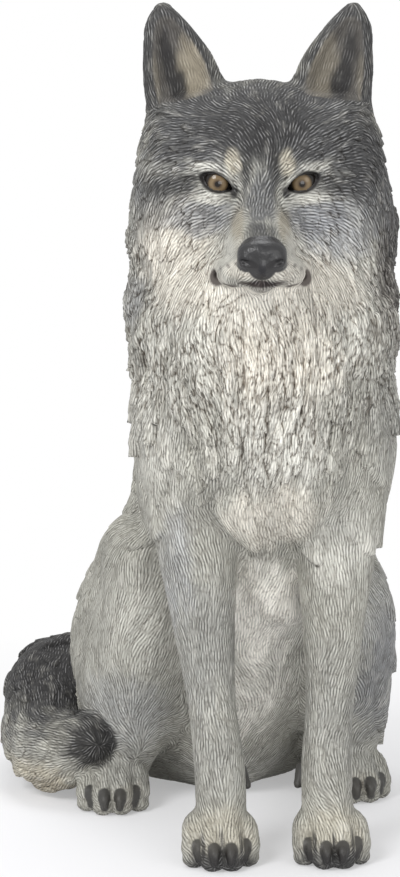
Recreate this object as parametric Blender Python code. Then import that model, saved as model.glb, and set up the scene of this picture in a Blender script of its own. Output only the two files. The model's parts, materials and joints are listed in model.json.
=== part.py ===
"""A seated wolf, cast in one piece and painted.

The wolf is shaped as a sculptor would build it in clay: lumps and limbs laid
on one another and blended, then hollows cut, then locks of fur laid over the
ruff. Each lump or limb is a signed distance, and the blend of them all is
sampled on a grid and turned into one closed surface.

The front is -Y, the wolf's left is +X, and the floor is z = 0. Sizes here are
in millimetres, which MM turns into Blender's metres.
"""

import math

import bmesh
import bpy
import numpy as np
import openvdb
from mathutils import Euler, Matrix, Vector

MM = 0.001

# Grid that the clay is sampled on, finer at the face and the forepaws
STEP = 3.4
FINE_STEP = 1.8
LOW, HIGH = (-225, -280, -12), (230, 335, 820)
FINE = ([(-8, 118)], [(-275, -95)], [(0, 56), (530, 680)])
OUTSIDE = 40.0

# Where the parts of the body stand
HEAD_PLACE = (55, -140, 634)
CHEST_PLACE = (63, -60, 0)
CHEST_YAW = 4
HIP_PLACE = (61, -50, 0)
HIP_YAW = 11

# How far the hips, haunches, hind feet and forepaws reach from the middle of the body
RUMP_BACK = 238
HAUNCH_OUT = 102
HIND_FOOT_OUT = 112
HIND_FOOT_BACK = 200
PAW_OUT = 52
PAW_FORWARD = 93

EYE_PLACE = (38, 11.5, 0)
EYE_RADIUS = 15.5
EYE_WIDTH = 33
EYE_HEIGHT = 16

# The tail, from its root round the haunch to its tip, with its girths
TAIL_PATH = [
    (-10, 245, 70),
    (-90, 262, 78),
    (-148, 215, 86),
    (-154, 145, 66),
    (-150, 82, 48),
    (-113, 24, 70),
]
TAIL_GIRTHS = [38, 44, 51, 50, 42, 25]

# The ruff: rows of locks from its top at the cheeks to its foot on the chest
RUFF_TOP = 670
RUFF_FOOT = 410
RUFF_RISE = 70
RUFF_ROWS = 12
JAW_LEVEL = 530
LOCKS_ROUND = 26
LOCK_LENGTH = 64
LOCK_WIDTH = 34
LOCK_HEIGHT = 9

# The flatter locks on the trunk and the haunches, and those round the tail
TRUNK_TOP = 395
TRUNK_FOOT = 105
TRUNK_ROWS = 7
TRUNK_LOCKS_ROUND = 20
TRUNK_LOCK_LENGTH = 74
TRUNK_LOCK_WIDTH = 44
TRUNK_LOCK_HEIGHT = 6
TAIL_LOCKS_ROUND = 8
TAIL_LOCK_LENGTH = 70
TAIL_LOCK_WIDTH = 36
TAIL_LOCK_HEIGHT = 4.5

TRIANGLES = 11500
FINE_WORK = 0.00005


def frame(place, yaw=0, pitch=0, roll=0):
    turn = Euler((math.radians(pitch), math.radians(roll), math.radians(yaw)))
    return Matrix.Translation(place) @ turn.to_matrix().to_4x4()


def mirrored(place, side):
    """The frame for the wolf's left side (1), or its mirror image for the right (-1)."""
    return place @ Matrix.Diagonal((side, 1, 1, 1))


class Mass:
    """One lump or limb: a signed distance in its own frame, and the box that holds it."""

    def __init__(self, place, low, high, distance):
        inverse = place.inverted()
        self.turn = np.array(inverse.to_3x3(), np.float32)
        self.shift = np.array(inverse.translation, np.float32)
        corners = [
            place @ Vector((x, y, z))
            for x in (low[0], high[0])
            for y in (low[1], high[1])
            for z in (low[2], high[2])
        ]
        self.low = np.min(corners, axis=0)
        self.high = np.max(corners, axis=0)
        self.local_distance = distance

    def distance(self, x, y, z):
        local = [
            row[0] * x + row[1] * y + row[2] * z + shift
            for row, shift in zip(self.turn, self.shift)
        ]
        return self.local_distance(*local)


def lump(place, centre, half, turn=(0, 0, 0)):
    """An ellipsoid with these half axes, turned by degrees about X, Y and Z."""
    spin = Euler([math.radians(a) for a in turn]).to_matrix().to_4x4()
    a, b, c = half

    def distance(x, y, z):
        u, v, w = x / a, y / b, z / c
        reach = np.sqrt(u * u + v * v + w * w)
        slope = np.sqrt((u / a) ** 2 + (v / b) ** 2 + (w / c) ** 2)
        return reach * (reach - 1) / np.maximum(slope, 1e-6)

    low = tuple(-h for h in half)
    return Mass(place @ Matrix.Translation(centre) @ spin, low, half, distance)


def smooth_path(path, girths, pieces=4):
    """Points and radii along a smooth curve through these."""
    keys = np.array([(*p, g) for p, g in zip(path, girths)], np.float32)
    if len(keys) < 3:
        return keys
    ends = np.vstack([2 * keys[0] - keys[1], keys, 2 * keys[-1] - keys[-2]])
    curve = []
    for a, b, c, d in zip(ends, ends[1:], ends[2:], ends[3:]):
        for t in np.arange(pieces, dtype=np.float32) / pieces:
            curve.append(
                (
                    2 * b
                    + (c - a) * t
                    + (2 * a - 5 * b + 4 * c - d) * t**2
                    + (3 * b - a - 3 * c + d) * t**3
                )
                / 2
            )
    return np.array(curve + [keys[-1]])


def limb(place, path, girths, flat=(1, 1, 1)):
    """A round, tapering limb along a path; flat narrows it along X, Y or Z."""
    flat = np.array(flat, np.float32)
    keys = smooth_path([np.array(p) / flat for p in path], girths)
    spans = list(zip(keys, keys[1:]))

    def distance(x, y, z):
        x, y, z = x / flat[0], y / flat[1], z / flat[2]
        nearest = None
        for start, end in spans:
            along = end - start
            length = max(float(along[:3] @ along[:3]), 1e-6)
            dx, dy, dz = x - start[0], y - start[1], z - start[2]
            t = (dx * along[0] + dy * along[1] + dz * along[2]) / length
            t = np.clip(t, 0, 1)
            gap = np.sqrt(
                (dx - along[0] * t) ** 2
                + (dy - along[1] * t) ** 2
                + (dz - along[2] * t) ** 2
            )
            gap = gap - (start[3] + along[3] * t)
            nearest = gap if nearest is None else np.minimum(nearest, gap)
        return nearest * flat.min()

    low = ((keys[:, :3] - keys[:, 3:]) * flat).min(axis=0)
    high = ((keys[:, :3] + keys[:, 3:]) * flat).max(axis=0)
    return Mass(place, low, high, distance)


def melt(a, b, width):
    """The smaller of two distances, with a fillet this wide where they meet."""
    near = np.maximum(width - np.abs(a - b), 0) / width
    return np.minimum(a, b) - near * near * width / 4


def grid_axis(low, high, fine):
    """Coordinates from low to high, closer together inside the fine spans."""
    marks = [low]
    while marks[-1] < high:
        close = any(a <= marks[-1] < b for a, b in fine)
        marks.append(marks[-1] + (FINE_STEP if close else STEP))
    return np.array(marks, np.float32)


class Clay:
    """The distance to the surface of the clay on a grid, negative inside."""

    def __init__(self):
        self.axes = [grid_axis(*span) for span in zip(LOW, HIGH, FINE)]
        self.field = np.full([len(a) for a in self.axes], OUTSIDE, np.float32)

    def block(self, low, high):
        """The part of the grid between these corners, and its coordinates."""
        spans = tuple(
            slice(*np.searchsorted(axis, (a, b)))
            for axis, a, b in zip(self.axes, low, high)
        )
        x, y, z = (axis[s] for axis, s in zip(self.axes, spans))
        return spans, x[:, None, None], y[None, :, None], z[None, None, :]

    def add(self, mass, blend):
        reach = blend + 2 * STEP
        spans, x, y, z = self.block(mass.low - reach, mass.high + reach)
        self.field[spans] = melt(self.field[spans], mass.distance(x, y, z), blend)

    def cut(self, mass, blend):
        reach = blend + 2 * STEP
        spans, x, y, z = self.block(mass.low - reach, mass.high + reach)
        self.field[spans] = -melt(-self.field[spans], mass.distance(x, y, z), blend)

    def join(self, other, blend):
        self.field = melt(self.field, other.field, blend)

    def soften(self, times):
        """Rounds off creases by averaging each cell with its neighbours."""
        for _ in range(times):
            for axis in range(3):
                ahead = np.roll(self.field, -1, axis)
                behind = np.roll(self.field, 1, axis)
                self.field = (2 * self.field + ahead + behind) / 4

    def surface(self):
        """Points and quads of the surface."""
        grid = openvdb.FloatGrid(OUTSIDE)
        grid.copyFromArray(self.field)
        points, quads = grid.convertToQuads(0.0)
        places = [
            np.interp(points[:, i], np.arange(len(axis)), axis)
            for i, axis in enumerate(self.axes)
        ]
        return np.stack(places, axis=1), quads

    def depth(self, points):
        """The distance at these points, blended between the cells around each."""
        places = [
            np.interp(points[:, i], axis, np.arange(len(axis)))
            for i, axis in enumerate(self.axes)
        ]
        cells = [
            np.clip(p.astype(int), 0, len(a) - 2) for p, a in zip(places, self.axes)
        ]
        parts = [p - c for p, c in zip(places, cells)]
        total = 0
        for corner in np.ndindex(2, 2, 2):
            weight = 1
            for part, up in zip(parts, corner):
                weight = weight * (part if up else 1 - part)
            total = total + weight * self.field[
                tuple(c + up for c, up in zip(cells, corner))
            ]
        return total

    def hit(self, start, way, reach=240):
        """Where a line from the start, going this way, leaves the clay for good."""
        away = np.arange(reach, 0, -2)[:, None]
        points = np.array(start) + np.array(way) * away
        return points[np.argmax(self.depth(points) < 0)][None]

    def normals(self, points):
        """The direction straight out of the clay at these points."""
        steps = np.eye(3) * STEP
        slopes = [self.depth(points + s) - self.depth(points - s) for s in steps]
        slopes = np.stack(slopes, axis=1)
        return slopes / np.maximum(np.linalg.norm(slopes, axis=1, keepdims=True), 1e-6)

    def skin(self, points, height=0.0):
        """These points moved straight onto the surface, or to this height over it."""
        for _ in range(4):
            gaps = self.depth(points) - height
            points = points - self.normals(points) * np.clip(gaps, -8, 8)[:, None]
        return points


def sculpt_body(clay):
    chest = frame(CHEST_PLACE, yaw=CHEST_YAW)
    hips = frame(HIP_PLACE, yaw=HIP_YAW)
    # Back, from the withers down to the rump
    clay.add(
        limb(
            hips,
            [(0, 34, 450), (0, 62, 360), (0, 128, 245), (0, 212, 125)],
            [88, 104, 110, 100],
        ),
        30,
    )
    clay.add(lump(hips, (4, RUMP_BACK, 60), (125, 80, 80)), 30)
    # Chest, and the belly that slopes back between the haunches
    clay.add(lump(chest, (-3, -14, 400), (113, 92, 112)), 30)
    clay.add(limb(chest, [(0, -22, 400), (2, 0, 300), (12, 26, 228)], [86, 40, 26]), 20)
    clay.add(
        limb(hips, [(0, 90, 300), (-4, 128, 180), (-6, 170, 70)], [66, 84, 70]), 30
    )
    clay.add(lump(chest, (24, 28, 214), (18, 22, 15), (0, 24, 0)), 10)
    for side in (1, -1):
        near = mirrored(chest, side)
        clay.add(lump(near, (76, 16, 385), (42, 72, 108)), 30)
    clay.add(lump(hips, (-111, 96, 262), (28, 50, 36), (0, 25, 0)), 20)
    clay.add(lump(hips, (94, 96, 262), (28, 50, 34), (0, -25, 0)), 20)
    # Haunches
    for side in (1, -1):
        near = mirrored(hips, side)
        clay.add(lump(near, (HAUNCH_OUT, 150, 168), (58, 96, 104), (14, -8, 0)), 26)
        clay.add(lump(near, (98, 92, 190), (44, 52, 66), (20, 0, 0)), 30)
        clay.add(
            limb(near, [(104, 135, 120), (114, 128, 70), (118, 150, 38)], [50, 38, 32]),
            24,
        )


def sculpt_ruff(clay):
    chest = frame(CHEST_PLACE, yaw=0)
    clay.add(
        limb(chest, [(-6, 30, 650), (-4, 50, 570), (-2, 60, 470)], [62, 80, 94]), 30
    )
    for side in (1, -1):
        near = mirrored(chest @ Matrix.Translation((-4, 0, 0)), side)
        clay.add(lump(near, (62, 0, 655), (50, 62, 62)), 24)
        clay.add(lump(near, (70, 2, 606), (52, 62, 52)), 24)
        clay.add(lump(near, (62, -10, 575), (56, 64, 60)), 24)
        clay.add(lump(near, (56, -8, 500), (64, 76, 72)), 24)
    clay.add(lump(chest, (-4, -46, 505), (92, 82, 84)), 24)
    clay.add(lump(chest, (-4, -58, 445), (84, 72, 96)), 24)


def sculpt_foreleg(clay, side):
    near = mirrored(frame(CHEST_PLACE, yaw=CHEST_YAW), side)
    clay.add(
        limb(
            near,
            [
                (74, 4, 380),
                (67, -12, 290),
                (62, -36, 215),
                (56, -60, 141),
                (51, -84, 90),
                (50, -96, 50),
            ],
            [48, 40, 30, 23, 24, 24],
        ),
        11,
    )
    sculpt_paw(clay, near @ Matrix.Translation((PAW_OUT, -PAW_FORWARD, 0)), 0.9)
    clay.add(limb(near, [(30, -66, 78), (24, -78, 66)], [7, 4]), 3)


def sculpt_paw(clay, place, scale):
    """Four toes and their claws, spread in front of the pad."""
    place = place @ Matrix.Scale(scale, 4)
    clay.add(lump(place, (0, 0, 28), (34, 44, 32)), 10)
    for spread, reach in ((-28, -28), (-10, -44), (10, -44), (28, -28)):
        clay.add(
            limb(
                place,
                [
                    (spread * 0.7, reach + 44, 38),
                    (spread * 0.95, reach + 18, 37),
                    (spread, reach, 20),
                ],
                [11, 12.5, 13.5],
            ),
            3,
        )
        clay.add(lump(place, (spread, reach - 2, 8), (12.5, 12, 9)), 3)
        clay.add(
            limb(
                place,
                [
                    (spread * 0.88, reach - 9, 24),
                    (spread * 0.84, reach - 14, 19),
                    (spread * 0.82, reach - 16, 11),
                ],
                [5.2, 5.0, 3.4],
            ),
            1.0,
        )


def sculpt_hind_foot(clay, side):
    yaw = 3 if side > 0 else 11
    near = mirrored(frame(HIP_PLACE, yaw=HIP_YAW), side)
    near = near @ Matrix.Translation((HIND_FOOT_OUT, HIND_FOOT_BACK, 0))
    near = near @ Matrix.Rotation(math.radians(yaw), 4, "Z")
    clay.add(limb(near, [(0, 35, 40), (0, -25, 36), (0, -60, 32)], [26, 28, 27]), 14)
    sculpt_paw(clay, near @ Matrix.Translation((0, -82, 0)), 0.9)


def sculpt_tail(clay):
    clay.add(limb(frame((0, 0, 0)), TAIL_PATH, TAIL_GIRTHS), 10)


def sculpt_head(clay):
    head = frame(HEAD_PLACE)
    clay.add(
        limb(
            head,
            [(0, 22, 0), (0, 44, 22), (0, 78, 32)],
            [44, 54, 62],
            (1.16, 1, 1),
        ),
        20,
    )
    # Bridge, muzzle and jaw
    clay.add(
        limb(head, [(0, 14, -6), (0, -32, -34), (0, -90, -56)], [30, 20, 15.5]), 12
    )
    clay.add(limb(head, [(0, 20, -50), (0, -42, -60), (0, -88, -66)], [38, 30, 22]), 14)
    clay.add(limb(head, [(0, 10, -80), (0, -50, -82), (0, -86, -84)], [28, 17, 11.5]), 8)
    for side in (1, -1):
        near = mirrored(head, side)
        clay.add(lump(near, (50, 52, -38), (52, 52, 56)), 24)
        clay.add(lump(near, (74, 62, 2), (36, 48, 66), (0, 6, 0)), 34)
        clay.add(lump(near, (36, 14, 21), (24, 16, 11), (0, -8, 20)), 14)
        clay.add(
            limb(near, [(12, -96, -74), (23, -66, -79), (35, -22, -78)], [12, 13, 11]),
            6,
        )
    clay.soften(2)
    sculpt_mouth(clay, head)
    sculpt_nose(clay, head)
    for side in (1, -1):
        sculpt_eye(clay, mirrored(head, side))
        sculpt_ear(clay, mirrored(head, side))


def sculpt_mouth(clay, head):
    for side in (1, -1):
        near = mirrored(head, side)
        clay.cut(
            limb(
                near,
                [(0, -112, -86), (12, -108, -88), (24, -86, -93), (33, -56, -92)],
                [2.0, 2.4, 2.4, 1.8],
            ),
            3,
        )
        clay.cut(lump(near, (39, -36, -84), (5, 12, 7), (0, -35, 0)), 3)
    clay.cut(limb(head, [(0, -118, -70), (0, -114, -84)], [1.6, 1.6]), 2)


def sculpt_nose(clay, head):
    clay.add(lump(head, (0, -102, -57), (22, 15, 12)), 3)
    clay.add(lump(head, (0, -102, -68), (13, 14, 12)), 4)
    for side in (1, -1):
        near = mirrored(head, side)
        clay.add(lump(near, (13, -105, -64), (9, 10, 9)), 4)
        clay.cut(limb(near, [(8, -118, -69), (17, -112, -65)], [3.6, 2.2]), 1.5)


def almond(place, width, height, depth):
    """A prism along Y, pointed at both sides like an eye's opening."""
    bow = (width**2 + height**2) / (2 * height)

    def distance(x, y, z):
        upper = np.sqrt(x * x + (z - height + bow) ** 2) - bow
        lower = np.sqrt(x * x + (z + height - bow) ** 2) - bow
        return np.maximum(np.maximum(upper, lower), np.abs(y) - depth)

    return Mass(place, (-width, -depth, -height), (width, depth, height), distance)


def sculpt_eye(clay, near):
    clay.cut(lump(near, (26, -20, -8), (11, 14, 18), (0, 0, 30)), 12)
    socket = near @ frame((37, 5, 0), yaw=24) @ frame((0, 0, 0), roll=-22)
    clay.add(lump(socket, (0, 6, 0), (21, 17, 15.5)), 5)
    opening = socket @ Matrix.Translation((0, -15, 0))
    clay.cut(almond(opening, EYE_WIDTH / 2, EYE_HEIGHT / 2, 24), 1.2)
    clay.add(lump(near, EYE_PLACE, [EYE_RADIUS] * 3), 0.4)


def sculpt_ear(clay, near):
    clay.add(
        limb(
            near,
            [(60, 92, 46), (72, 96, 92), (80, 98, 118), (87, 100, 138), (90, 102, 156)],
            [44, 37, 29, 21, 10],
            (1, 0.6, 1),
        ),
        10,
    )
    clay.cut(
        limb(
            near,
            [(66, 68, 70), (72, 72, 92), (80, 80, 120), (87, 88, 142)],
            [22, 25, 18, 8],
            (1, 0.8, 1),
        ),
        5,
    )


def lay_locks(clay, locks, width, height):
    """Raises the skin in pointed, overlapping locks, each highest near its tip.

    A lock is its root, the way it lies, the way out of the skin, and its length.
    """
    relief = np.zeros_like(clay.field)
    half = width / 2
    for root, along, out, length in locks:
        across = np.cross(along, out)
        middle = root + along * length / 2
        reach = np.abs(along) * length / 2 + np.abs(across) * half + np.abs(out) * 18
        spans, *cells = clay.block(middle - reach, middle + reach)
        dx, dy, dz = (c - r for c, r in zip(cells, root))
        v = (dx * along[0] + dy * along[1] + dz * along[2]) / length
        u = (dx * across[0] + dy * across[1] + dz * across[2]) / half
        v = np.clip(v, 0, 1)
        taper = np.sqrt(1 - v**1.5) * np.minimum(1, 5 * v)
        crown = np.sqrt(np.clip(1 - (u / np.maximum(taper, 1e-3)) ** 2, 0, 1))
        rise = height * (0.35 + 0.65 * v) * crown
        relief[spans] = np.maximum(relief[spans], rise)
    clay.field -= relief


def lock_at(root, seat, lean, length):
    """A lock from this root on the skin, lying as nearly this way as the skin lets it."""
    along = lean - seat * (lean @ seat)
    return root, along / np.linalg.norm(along), seat, length


def ruff_locks(clay, rows, around, length):
    """Locks in staggered rows, from the cheeks and the nape down to the chest."""
    locks = []
    for row in range(rows):
        low = row / (rows - 1)
        for k in range(around):
            turn = 2 * math.pi * (k + 0.5 * (row % 2)) / around
            turn += 1.8 / around * math.sin(5.1 * k + 2.3 * row)
            out = Vector((math.sin(turn), -math.cos(turn), 0))
            front = max(0.0, -out.y)
            level = RUFF_TOP + (RUFF_FOOT - RUFF_TOP) * low
            level += RUFF_RISE * (1 - front) * low + 9 * math.sin(3.7 * k + 1.9 * row)
            if level > JAW_LEVEL + 130 * max(0.0, 1 - 1.5 * front):
                continue
            root = clay.hit(Vector((60, -30, level)), out)
            lean = np.array((out.x * (0.5 - 1.0 * low), 0.3 * (1 - front), -1.0))
            lean += 0.2 * math.sin(4.3 * k + 3.1 * row) * np.array((-out.y, out.x, 0))
            real = length * (1 + 0.2 * math.sin(2.9 * k + row))
            locks.append(lock_at(root[0], clay.normals(root)[0], lean, real))
    return locks


def trunk_locks(clay, rows, around, length):
    """Flat locks on the back, the flanks and the haunches, clear of the legs and the tail."""
    locks = []
    for row in range(rows):
        level = TRUNK_TOP + (TRUNK_FOOT - TRUNK_TOP) * row / (rows - 1)
        middle = Vector((60, 30 + 0.3 * (TRUNK_TOP - level), level))
        for k in range(around):
            turn = 2 * math.pi * (k + 0.5 * (row % 2)) / around
            turn += 1.6 / around * math.sin(4.7 * k + 2.1 * row)
            out = Vector((math.sin(turn), -math.cos(turn), 0))
            root = clay.hit(middle, out, 200)
            x, y, _ = root[0]
            near_tail = level < 160 and x < 60 + TAIL_PATH[2][0] / 2
            near_legs = level < 330 and out.y < -0.3
            if near_tail or near_legs:
                continue
            lean = np.array((0.25 * out.x, 0.25, -1.0))
            lean += 0.25 * math.sin(3.9 * k + 2.7 * row) * np.array((-out.y, out.x, 0))
            real = length * (1 + 0.2 * math.sin(2.3 * k + row))
            locks.append(lock_at(root[0], clay.normals(root)[0], lean, real))
    return locks


def tail_locks(clay, around, length):
    """Locks round the tail, lying towards its tip."""
    locks = []
    keys = smooth_path(TAIL_PATH, TAIL_GIRTHS)[::3]
    for row, (start, end) in enumerate(zip(keys, keys[1:])):
        run = unit(end[:3] - start[:3])
        side = unit(np.cross(run, (0, 0, 1)))
        for k in range(around):
            turn = 2 * math.pi * (k + 0.5 * (row % 2)) / around
            way = side * math.cos(turn) + np.cross(side, run) * math.sin(turn)
            root = clay.hit(start[:3], way, 1.3 * start[3])
            lean = run + 0.2 * math.sin(3.1 * k + 1.7 * row) * np.cross(run, way)
            locks.append(lock_at(root[0], clay.normals(root)[0], lean, length))
    return locks


def unit(way):
    return np.array(way) / np.linalg.norm(way)


def sculpt():
    clay = Clay()
    sculpt_body(clay)
    sculpt_ruff(clay)
    clay.soften(3)
    for side in (1, -1):
        sculpt_foreleg(clay, side)
        sculpt_hind_foot(clay, side)
    sculpt_tail(clay)
    head = Clay()
    sculpt_head(head)
    clay.join(head, 16)
    ruff = ruff_locks(clay, RUFF_ROWS, LOCKS_ROUND, LOCK_LENGTH)
    trunk = trunk_locks(clay, TRUNK_ROWS, TRUNK_LOCKS_ROUND, TRUNK_LOCK_LENGTH)
    tail = tail_locks(clay, TAIL_LOCKS_ROUND, TAIL_LOCK_LENGTH)
    lay_locks(clay, ruff, LOCK_WIDTH, LOCK_HEIGHT)
    lay_locks(clay, trunk, TRUNK_LOCK_WIDTH, TRUNK_LOCK_HEIGHT)
    lay_locks(clay, tail, TAIL_LOCK_WIDTH, TAIL_LOCK_HEIGHT)
    return clay


def cast(clay):
    """The clay's surface as one Blender object, standing at the middle of the scene."""
    points, quads = clay.surface()
    mesh = bpy.data.meshes.new("wolf")
    mesh.from_pydata(points * MM, [], quads)
    wolf = bpy.data.objects.new("wolf", mesh)
    bpy.context.scene.collection.objects.link(wolf)
    thin_out(wolf, points)
    finish_foot(wolf.data)
    corners = np.array(wolf.bound_box)
    middle = (corners.min(axis=0) + corners.max(axis=0)) / 2
    wolf.location = (-middle[0], -middle[1], 0)
    return wolf


def thin_out(wolf, points):
    """Fewer triangles, keeping more of them at the face and the paws."""
    spare = wolf.vertex_groups.new(name="where triangles go first")
    spare.add(range(len(points)), 1.0, "REPLACE")
    x, y, z = points.T
    front = y - y.min()
    face = (z > 530) & (z < 690) & (front < 150)
    paws = (z < 60) & (front < 90)
    spare.add(np.flatnonzero(face).tolist(), 0.2, "REPLACE")
    spare.add(np.flatnonzero(paws).tolist(), 0.5, "REPLACE")
    thin = wolf.modifiers.new("Fewer triangles", "DECIMATE")
    thin.ratio = TRIANGLES / (2 * len(wolf.data.polygons))
    thin.vertex_group = spare.name
    thin.vertex_group_factor = FINE_WORK
    graph = bpy.context.evaluated_depsgraph_get()
    wolf.data = bpy.data.meshes.new_from_object(wolf.evaluated_get(graph))
    wolf.data.name = "wolf"
    wolf.modifiers.clear()
    wolf.vertex_groups.clear()


def finish_foot(mesh):
    """Cuts the casting flat where it stands, and drops any stray bubble of clay."""
    shape = bmesh.new()
    shape.from_mesh(mesh)
    left = set(shape.verts)
    pieces = []
    while left:
        edge_of_piece = {left.pop()}
        piece = set(edge_of_piece)
        while edge_of_piece:
            near = {e.other_vert(v) for v in edge_of_piece for e in v.link_edges}
            edge_of_piece = near & left
            left -= edge_of_piece
            piece |= edge_of_piece
        pieces.append(piece)
    biggest = max(pieces, key=len)
    stray = [v for v in shape.verts if v not in biggest]
    bmesh.ops.delete(shape, geom=stray, context="VERTS")
    bmesh.ops.bisect_plane(
        shape,
        geom=shape.verts[:] + shape.edges[:] + shape.faces[:],
        plane_co=(0, 0, 0),
        plane_no=(0, 0, -1),
        clear_outer=True,
    )
    bmesh.ops.holes_fill(shape, edges=[e for e in shape.edges if e.is_boundary])
    bmesh.ops.triangulate(shape, faces=shape.faces[:])
    shape.to_mesh(mesh)
    shape.free()


def material(name, colour, roughness):
    paint = bpy.data.materials.new(name)
    paint.use_nodes = True
    shader = paint.node_tree.nodes["Principled BSDF"]
    shader.inputs["Base Color"].default_value = (*colour, 1)
    shader.inputs["Roughness"].default_value = roughness
    paint.diffuse_color = (*colour, 1)
    return paint


def within(points, place, centre, half):
    """Which points lie inside an ellipsoid in this frame."""
    local = points @ np.array(place.inverted().to_3x3()).T
    local = local + np.array(place.inverted().translation)
    return (((local - centre) / half) ** 2).sum(axis=1) < 1


def paint(wolf):
    """The casting's paint: pale grey, with the dark, cream and black parts over it."""
    count = len(wolf.data.polygons)
    points = np.empty(count * 3, np.float32)
    wolf.data.polygons.foreach_get("center", points)
    points = points.reshape(-1, 3) / MM
    head = frame(HEAD_PLACE)
    floor = frame((0, 0, 0))
    spots = [
        ("cream fur", (0.62, 0.56, 0.46), 0.75),
        ("charcoal fur", (0.075, 0.072, 0.07), 0.7),
        ("black skin", (0.02, 0.02, 0.022), 0.4),
        ("amber eyes", (0.42, 0.24, 0.07), 0.1),
    ]
    areas = {
        "cream fur": [
            (floor, (60, -130, 470), (85, 90, 120)),
            (head, (0, -20, -60), (95, 90, 45)),
            (floor, (60, -130, 20), (90, 70, 45)),
            (floor, (-165, 60, 20), (50, 50, 40)),
        ],
        "charcoal fur": [
            (head, (0, 70, 75), (95, 70, 55)),
            (head, (0, 10, 35), (50, 30, 30)),
            (head, (82, 110, 105), (50, 18, 70)),
            (head, (-82, 110, 105), (50, 18, 70)),
            (floor, (58, 130, 480), (90, 80, 200)),
            (floor, (-150, 170, 100), (80, 110, 45)),
            (floor, (-112, 20, 72), (36, 40, 30)),
        ],
        "black skin": [(head, (0, -108, -61), (23, 16, 17))],
        "amber eyes": [
            (head, (side * EYE_PLACE[0], 10, 0), (16.2, 16.2, 16.2))
            for side in (1, -1)
        ],
    }
    wolf.data.materials.append(material("grey fur", (0.42, 0.41, 0.39), 0.75))
    kind = np.zeros(count, np.int32)
    for index, spot in enumerate(spots, 1):
        wolf.data.materials.append(material(*spot))
        for place, centre, half in areas[spot[0]]:
            kind[within(points, place, centre, half)] = index
    wolf.data.polygons.foreach_set("material_index", kind)
    wolf.data.polygons.foreach_set("use_smooth", np.ones(count, bool))


def main():
    for old in list(bpy.data.objects):
        bpy.data.objects.remove(old)
    wolf = cast(sculpt())
    paint(wolf)


main()
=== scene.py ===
"""The look of the seated wolf figurine: a hollow resin casting, painted by hand.

The first half lays the clay up as the casting has it. The second half cuts the fur finer,
paints it and lights it. The clay is in millimetres, and the scene is in metres.
"""

import json
import math
from itertools import product

import bpy
import numpy as np
import openvdb
from mathutils import Euler, Matrix, Vector
from mathutils.kdtree import KDTree

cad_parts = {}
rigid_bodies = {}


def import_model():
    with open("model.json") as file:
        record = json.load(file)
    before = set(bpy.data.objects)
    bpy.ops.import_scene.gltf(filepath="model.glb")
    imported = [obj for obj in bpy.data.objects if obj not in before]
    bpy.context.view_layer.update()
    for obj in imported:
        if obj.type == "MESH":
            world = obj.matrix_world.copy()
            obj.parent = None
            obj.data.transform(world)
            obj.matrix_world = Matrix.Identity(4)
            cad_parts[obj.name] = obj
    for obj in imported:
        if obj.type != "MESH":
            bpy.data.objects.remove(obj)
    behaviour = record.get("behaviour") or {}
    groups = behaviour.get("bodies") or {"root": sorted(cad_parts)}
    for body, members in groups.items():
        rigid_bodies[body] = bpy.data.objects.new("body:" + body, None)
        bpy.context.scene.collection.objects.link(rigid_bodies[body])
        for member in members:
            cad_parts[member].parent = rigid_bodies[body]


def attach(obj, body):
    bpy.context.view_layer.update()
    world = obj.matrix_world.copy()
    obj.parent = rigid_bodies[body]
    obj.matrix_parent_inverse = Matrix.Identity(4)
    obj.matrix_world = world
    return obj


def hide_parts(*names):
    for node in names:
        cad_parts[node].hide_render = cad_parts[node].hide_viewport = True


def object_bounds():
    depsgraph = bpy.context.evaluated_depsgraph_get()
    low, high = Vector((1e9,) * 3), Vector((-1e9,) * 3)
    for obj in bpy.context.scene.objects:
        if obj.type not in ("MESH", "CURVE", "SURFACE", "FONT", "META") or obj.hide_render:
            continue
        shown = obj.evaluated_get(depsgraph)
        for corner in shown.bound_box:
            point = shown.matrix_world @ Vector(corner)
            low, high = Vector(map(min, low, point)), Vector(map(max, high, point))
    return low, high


MM = 0.001

# Where the clay's own origin stands in the part's frame
SHIFT = (0.0028, -0.0254, 0)

# Grid that the clay is sampled on, finer at the face and the forepaws
STEP = 3.4
FINE_STEP = 1.8
LOW, HIGH = (-225, -280, -12), (230, 335, 820)
FINE = ([(-8, 118)], [(-275, -95)], [(0, 56), (530, 680)])
OUTSIDE = 40.0

# Where the parts of the body stand
HEAD_PLACE = (55, -140, 634)
CHEST_PLACE = (63, -60, 0)
CHEST_YAW = 4
HIP_PLACE = (61, -50, 0)
HIP_YAW = 11

# How far the hips, haunches, hind feet and forepaws reach from the middle of the body
RUMP_BACK = 238
HAUNCH_OUT = 102
HIND_FOOT_OUT = 112
HIND_FOOT_BACK = 200
HIND_FOOT_YAWS = (3, 11)
PAW_OUT = 52
PAW_FORWARD = 93
PAW_SCALE = 0.9

# The eyeball, its opening, and how thick the gloss on it is
EYE_PLACE = (38, 11.5, 0)
EYE_RADIUS = 15.5
EYE_WIDTH = 33
EYE_HEIGHT = 16
EYE_GLAZE = 0.2

# Places along the tail, from its root, and its girth at each
TAIL_PATH = [
    (-10, 245, 70, 38), (-90, 262, 78, 44), (-148, 215, 86, 51), (-154, 145, 66, 50),
    (-150, 82, 48, 42), (-113, 24, 70, 25),
]

# The ruff: rows of locks from its top at the cheeks to its foot on the chest. It reaches higher
# behind the jaw, up to the nape, and its finer locks end in a V below its foot.
RUFF_TOP = 670
RUFF_FOOT = 410
RUFF_RISE = 70
RUFF_MIDDLE = (60, -30)
JAW_LEVEL = 530
NAPE_RISE = 130
RUFF_V_DROP = 66
RUFF_V_SLOPE = 0.55

# The locks on the trunk, between these levels
TRUNK_TOP = 395
TRUNK_FOOT = 105

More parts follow.
